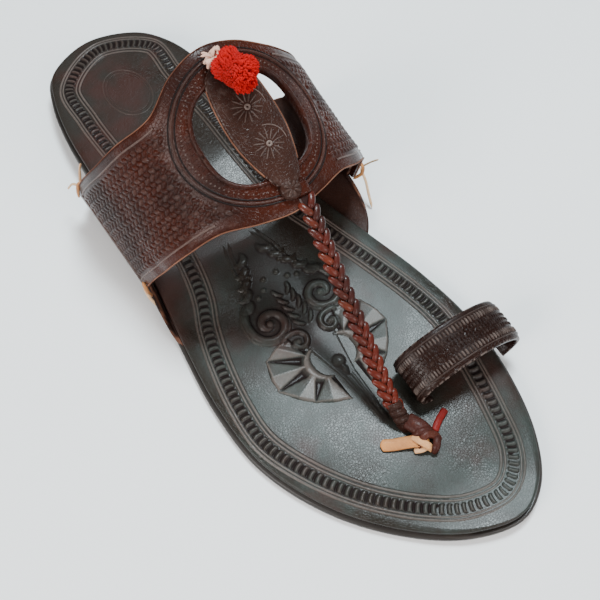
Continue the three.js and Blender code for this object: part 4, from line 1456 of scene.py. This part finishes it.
# Corner stitches: share across the band, angle, lift from the middle layer (0) or from outside it (1).
Stitch = namedtuple("Stitch", "path wide thick tone", defaults=[1.5, 1.0, 0.2])
STITCHES = [
    Stitch([(0.03, 172, 0, -2.2), (-0.02, 173, 0, 0.3), (0.02, 175, 1, 0), (0.06, 179, 1, 0.4)]),
    Stitch([(-0.01, 174, 0, 0.5), (-0.07, 177, 0, 1.5), (-0.10, 181, 0, 3.2)], 1.2, 0.8, 0.7),
    Stitch([(-0.01, 172, 0, 0.2), (-0.09, 167, 0, -0.6), (-0.12, 162, 0, -0.2)], 1.2, 0.8, 0.5),
    Stitch([(0.95, 174, 1, 0), (1.01, 176, 1, 0), (1.05, 179, 1, -0.6), (1.06, 183, 0, -0.6)]),
    Stitch([(0.99, 177, 1, 0.2), (1.09, 180, 1, 0), (1.14, 185, 0, 0.2)], 1.2, 0.8, 0.8),
    Stitch([(0.96, 10, 1, 0), (1.02, 9, 1, 0), (1.05, 6, 0, 0.4), (1.03, 3, 0, -2.4)]),
    Stitch([(0.99, 6, 1, 0.2), (1.10, 2, 1, 0), (1.18, -3, 0, 1.0), (1.26, -8, 0, 0.5)], 1.2, 0.8, 0.8),
    Stitch([(1.00, 7, 1, 0), (1.05, 14, 1, 2.0), (1.09, 21, 1, 3.5)], 1.1, 0.7, 0.9),
    Stitch([(0.04, 10, 1, 0), (-0.02, 9, 1, 0.4), (-0.04, 6, 0, 0.2), (0.0, 4, 0, -2.4)]),
    Stitch([(0.02, 6, 1, 0), (-0.05, 6, 0, 1.6), (-0.07, 10, 0, -0.6), (-0.01, 12, 0, -2.6)], 1.3, 0.9, 0.7),
]
STITCH_RISE = 0.6


class SANDAL_OT_laces(Operator):
    """Undyed lacing at the corners of the band and the knot at the foot of the braid"""
    bl_idname = "sandal.laces"
    bl_label = "Laces"

    def execute(self, context):
        shape, paint = ready(context)
        tan = leather("lace_leather", paint.lace, paint.cut_edge, LACE_PALE, rough=0.55)
        settle(self.straps(shape, LACE_KNOT).build("lace_knot", shape, tan), "lace_leather", "thong_knot")
        brown = leather("knot_leather", KNOT_BROWN, paint.band_dark, paint.braid_light, rough=0.45)
        settle(self.straps(shape, KNOT_WRAPS).build("knot_wraps", shape, brown), "band_leather")
        red = leather("red_lace", LACE_RED, LACE_RED_DARK, paint.braid_light, rough=0.45)
        settle(self.straps(shape, RED_END).build("red_lace_end", shape, red), "lace_leather")
        corner = Bag()
        out = shape.band_wall / 2 + STITCH_RISE
        for row in STITCHES:
            path = [shape.band(at, turn, outside * out + lift)[0] for at, turn, outside, lift in row.path]
            corner.tube(catmull(path, False, 10), row.wide, row.thick, (0, 0.2, 1), 8, row.tone, taper=0.1)
        settle(corner.build("corner_laces", shape, tan), "lace_leather")
        return {"FINISHED"}

    def straps(self, shape, rows):
        bag = Bag()
        floor = shape.floor(shape.y(STRAP_LEVEL_AT))
        for row in rows:
            path = catmull([(x, shape.y(share), floor + high) for x, share, high in row.path], False, 14)
            bag.tube(path, row.wide, row.thick, (0.05, 0.1, 1), 12, row.tone, taper=row.taper)
        return bag


POMPOM_AT = 0.424
POMPOM_SIDE = -6.5
POMPOM_FORWARD = 0.8
POMPOM_RISE = 10.0
POMPOM_TUFTS = 7
POMPOM_FLAT = 5.4
POMPOM_BELOW = -0.72
YARN_FROM = 4.4
YARN_WIDE = 0.85
YARN_THICK = 0.7
TIE_SIDE = -3.5
TIE_AT = 0.3935
TIE_RISE = 5.8
TIE_ENDS = ((3.6, -1.4, 1.6), (2.4, -3.2, 0.8), (-2.6, -2.4, 1.4))


class SANDAL_OT_pompom(Operator):
    """Red wool pompom and its pale tie"""
    bl_idname = "sandal.pompom"
    bl_label = "Pompom"

    def execute(self, context):
        shape, paint = ready(context)
        yarns = context.scene.sandal_sizes.yarns
        wool = fibre("red_wool", paint.wool, WOOL_SHADE)
        settle(self.ball(shape, yarns).build("pompom_wool", shape, wool), "red_wool", "pompom")
        pale = fibre("pale_thread", paint.thread, THREAD_DARK)
        settle(self.tie(shape).build("pompom_thread", shape, pale), "pale_thread", "pompom_tie")
        return {"FINISHED"}

    def ball(self, shape, yarns):
        """A core with yarns that lean together into tufts."""
        y = shape.y(POMPOM_AT)
        centre = np.array([POMPOM_SIDE, y + POMPOM_FORWARD, shape.arch_top(y) + POMPOM_RISE])
        upward = np.array([0, math.sin(shape.tilt), math.cos(shape.tilt)])
        dice = np.random.default_rng(7)
        bag = Bag()
        ball = np.linspace(0.02, np.pi - 0.02, 18)[:, None]
        turn = np.linspace(0, 2 * np.pi, 32, endpoint=False)[None, :]
        core = [np.sin(ball) * np.cos(turn), np.sin(ball) * np.sin(turn), np.cos(ball) + 0 * turn]
        # The core has the highest tone and so the darkest red: painted shade inside the pompom.
        bag.grid(centre + np.stack(core, -1) * (shape.pompom_radius - 4.0), 1.0, close=True)
        tufts = unit(dice.normal(size=(POMPOM_TUFTS, 3)) + upward * 0.6)
        s = np.linspace(0, 1, 5)[:, None]
        for _ in range(yarns):
            way = unit(dice.normal(size=3))
            if way @ upward < POMPOM_BELOW:
                continue
            near = tufts @ way
            full = smooth_step(near.max(), 0.55, 0.98)
            reach = shape.pompom_radius * (0.58 + 0.37 * full) * dice.uniform(0.9, 1.04)
            aim = unit(way + 0.85 * tufts[near.argmax()] * full + dice.normal(size=3) * 0.12)
            curl = unit(np.cross(way, dice.normal(size=3))) * 0.9
            path = centre + way * YARN_FROM + aim * (reach - YARN_FROM) * s + curl * s * (1 - s) * 2
            level = (path - centre) @ upward
            path = path + upward * np.clip(-POMPOM_FLAT - level, 0, None)[:, None]
            # Yarns away from the middle of a tuft are shorter and get a higher tone, a darker red: painted
            # shade between the tufts.
            tone = 0.65 - 0.6 * full + dice.uniform(-0.1, 0.15)
            bag.tube(path, YARN_WIDE, YARN_THICK, (0.3, 0.2, 1), 5, tone, taper=0.22)
        return bag

    def tie(self, shape):
        """Loops and short ends of pale thread."""
        bag = Bag()
        y = shape.y(TIE_AT)
        middle = np.array([TIE_SIDE, y, shape.arch_top(y) + TIE_RISE])
        t = np.linspace(0, 2 * np.pi, 80, endpoint=False)
        for k in range(3):
            loop = np.stack([3.0 * np.cos(t), 2.0 * np.sin(t + k), 1.4 * np.sin(2 * t + 1.7 * k)], 1)
            bag.tube(middle + loop, 1.2, 1.2, (0.2, 0.1, 1), 7, 0.15 * k, closed=True)
        s = np.linspace(0, 1, 9)[:, None]
        for way in TIE_ENDS:
            path = middle + np.array(way) * s + np.array([0, 0, 0.8]) * np.sin(3 * s)
            bag.tube(path, 0.9, 0.9, (0, 0.1, 1), 6, 0.2, taper=0.2)
        return bag


CAMERA_AT = (0.08369, 0.14020, 0.29025)
CAMERA_UP = (-0.4795, -0.6506, 0.5889)
CAMERA_AIM = (0.002, 0.025, 0.010)
CAMERA_LENS = 50.0
CAMERA_SENSOR = 36.0
CAMERA_NEAR = 0.01
FLOOR_REACH = 3.0
WORLD_STRENGTH = 0.30
LIGHT_AIM = (0, 0, 0.02)
Light = namedtuple("Light", "name place size power tint")
LIGHTS = [
    Light("key", (-0.24, -0.16, 0.79), 0.24, 11.0, (0.82, 0.95, 1.0)),
    Light("side", (0.62, 0.10, 0.42), 0.35, 5.0, (1.0, 0.98, 0.95)),
    Light("front", (-0.10, 0.70, 0.50), 0.40, 4.0, (1.0, 0.98, 0.96)),
]


class SANDAL_OT_stage(Operator):
    """Pale floor, soft lights and the camera"""
    bl_idname = "sandal.stage"
    bl_label = "Stage"

    def execute(self, context):
        scene = context.scene
        self.floor(scene)
        world = bpy.data.worlds.new("studio")
        scene.world = world
        world.use_nodes = True
        background = world.node_tree.nodes["Background"]
        background.inputs["Color"].default_value = (1.0, 1.0, 1.0, 1.0)
        background.inputs["Strength"].default_value = WORLD_STRENGTH
        for row in LIGHTS:
            data = bpy.data.lights.new(row.name, "AREA")
            data.size, data.energy, data.color = row.size, row.power, row.tint
            lamp = bpy.data.objects.new(row.name, data)
            lamp.location = row.place
            facing = Vector(LIGHT_AIM) - Vector(row.place)
            lamp.rotation_euler = facing.to_track_quat("-Z", "Y").to_euler()
            scene.collection.objects.link(lamp)
        self.camera(scene)
        return {"FINISHED"}

    def floor(self, scene):
        skin = Skin("studio_floor", Roughness=0.6, Specular_IOR_Level=0.2)
        cloud = skin.noise(3.0, 2.0)
        skin.feed("Base Color", skin.mix(cloud * 0.12, scene.sandal_colours.floor, FLOOR_SHADE))
        mesh = bpy.data.meshes.new("floor")
        corners = [(x * FLOOR_REACH, y * FLOOR_REACH, 0) for x, y in ((-1, -1), (1, -1), (1, 1), (-1, 1))]
        mesh.from_pydata(corners, [], [(0, 1, 2, 3)])
        mesh.materials.append(skin.material)
        floor = bpy.data.objects.new("floor", mesh)
        scene.collection.objects.link(floor)

    def camera(self, scene):
        data = bpy.data.cameras.new("camera")
        data.lens = CAMERA_LENS
        data.sensor_width = CAMERA_SENSOR
        data.clip_start = CAMERA_NEAR
        camera = bpy.data.objects.new("camera", data)
        away = (Vector(CAMERA_AT) - Vector(CAMERA_AIM)).normalized()
        right = Vector(CAMERA_UP).cross(away).normalized()
        turn = Matrix((right, away.cross(right), away)).transposed().to_4x4()
        camera.matrix_world = Matrix.Translation(CAMERA_AT) @ turn
        scene.collection.objects.link(camera)
        scene.camera = camera


class SANDAL_PT_panel(Panel):
    """Sizes, colours and steps of the sandal"""
    bl_idname = "SANDAL_PT_panel"
    bl_label = "Kolhapuri sandal"
    bl_space_type = "VIEW_3D"
    bl_region_type = "UI"
    bl_category = "Sandal"

    def draw(self, context):
        for group in (context.scene.sandal_sizes, context.scene.sandal_colours):
            for key in group.__annotations__:
                self.layout.prop(group, key)
        for step in STEPS:
            self.layout.operator(step.bl_idname)


STEPS = (SANDAL_OT_sole, SANDAL_OT_tooling, SANDAL_OT_band, SANDAL_OT_stamps, SANDAL_OT_braid,
         SANDAL_OT_flaps, SANDAL_OT_ring, SANDAL_OT_laces, SANDAL_OT_pompom, SANDAL_OT_stage)
CLASSES = (SandalSizes, SandalColours, *STEPS, SANDAL_PT_panel)


def register():
    for kind in CLASSES:
        bpy.utils.register_class(kind)
    bpy.types.Scene.sandal_sizes = PointerProperty(type=SandalSizes)
    bpy.types.Scene.sandal_colours = PointerProperty(type=SandalColours)


def unregister():
    del bpy.types.Scene.sandal_colours
    del bpy.types.Scene.sandal_sizes
    for kind in reversed(CLASSES):
        bpy.utils.unregister_class(kind)


def main():
    register()
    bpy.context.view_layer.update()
    bpy.ops.sandal.sole()
    bpy.ops.sandal.tooling()
    bpy.ops.sandal.band()
    bpy.ops.sandal.stamps()
    bpy.ops.sandal.braid()
    bpy.ops.sandal.flaps()
    bpy.ops.sandal.ring()
    bpy.ops.sandal.laces()
    bpy.ops.sandal.pompom()
    bpy.ops.sandal.stage()


if __name__ == "__main__":
    main()
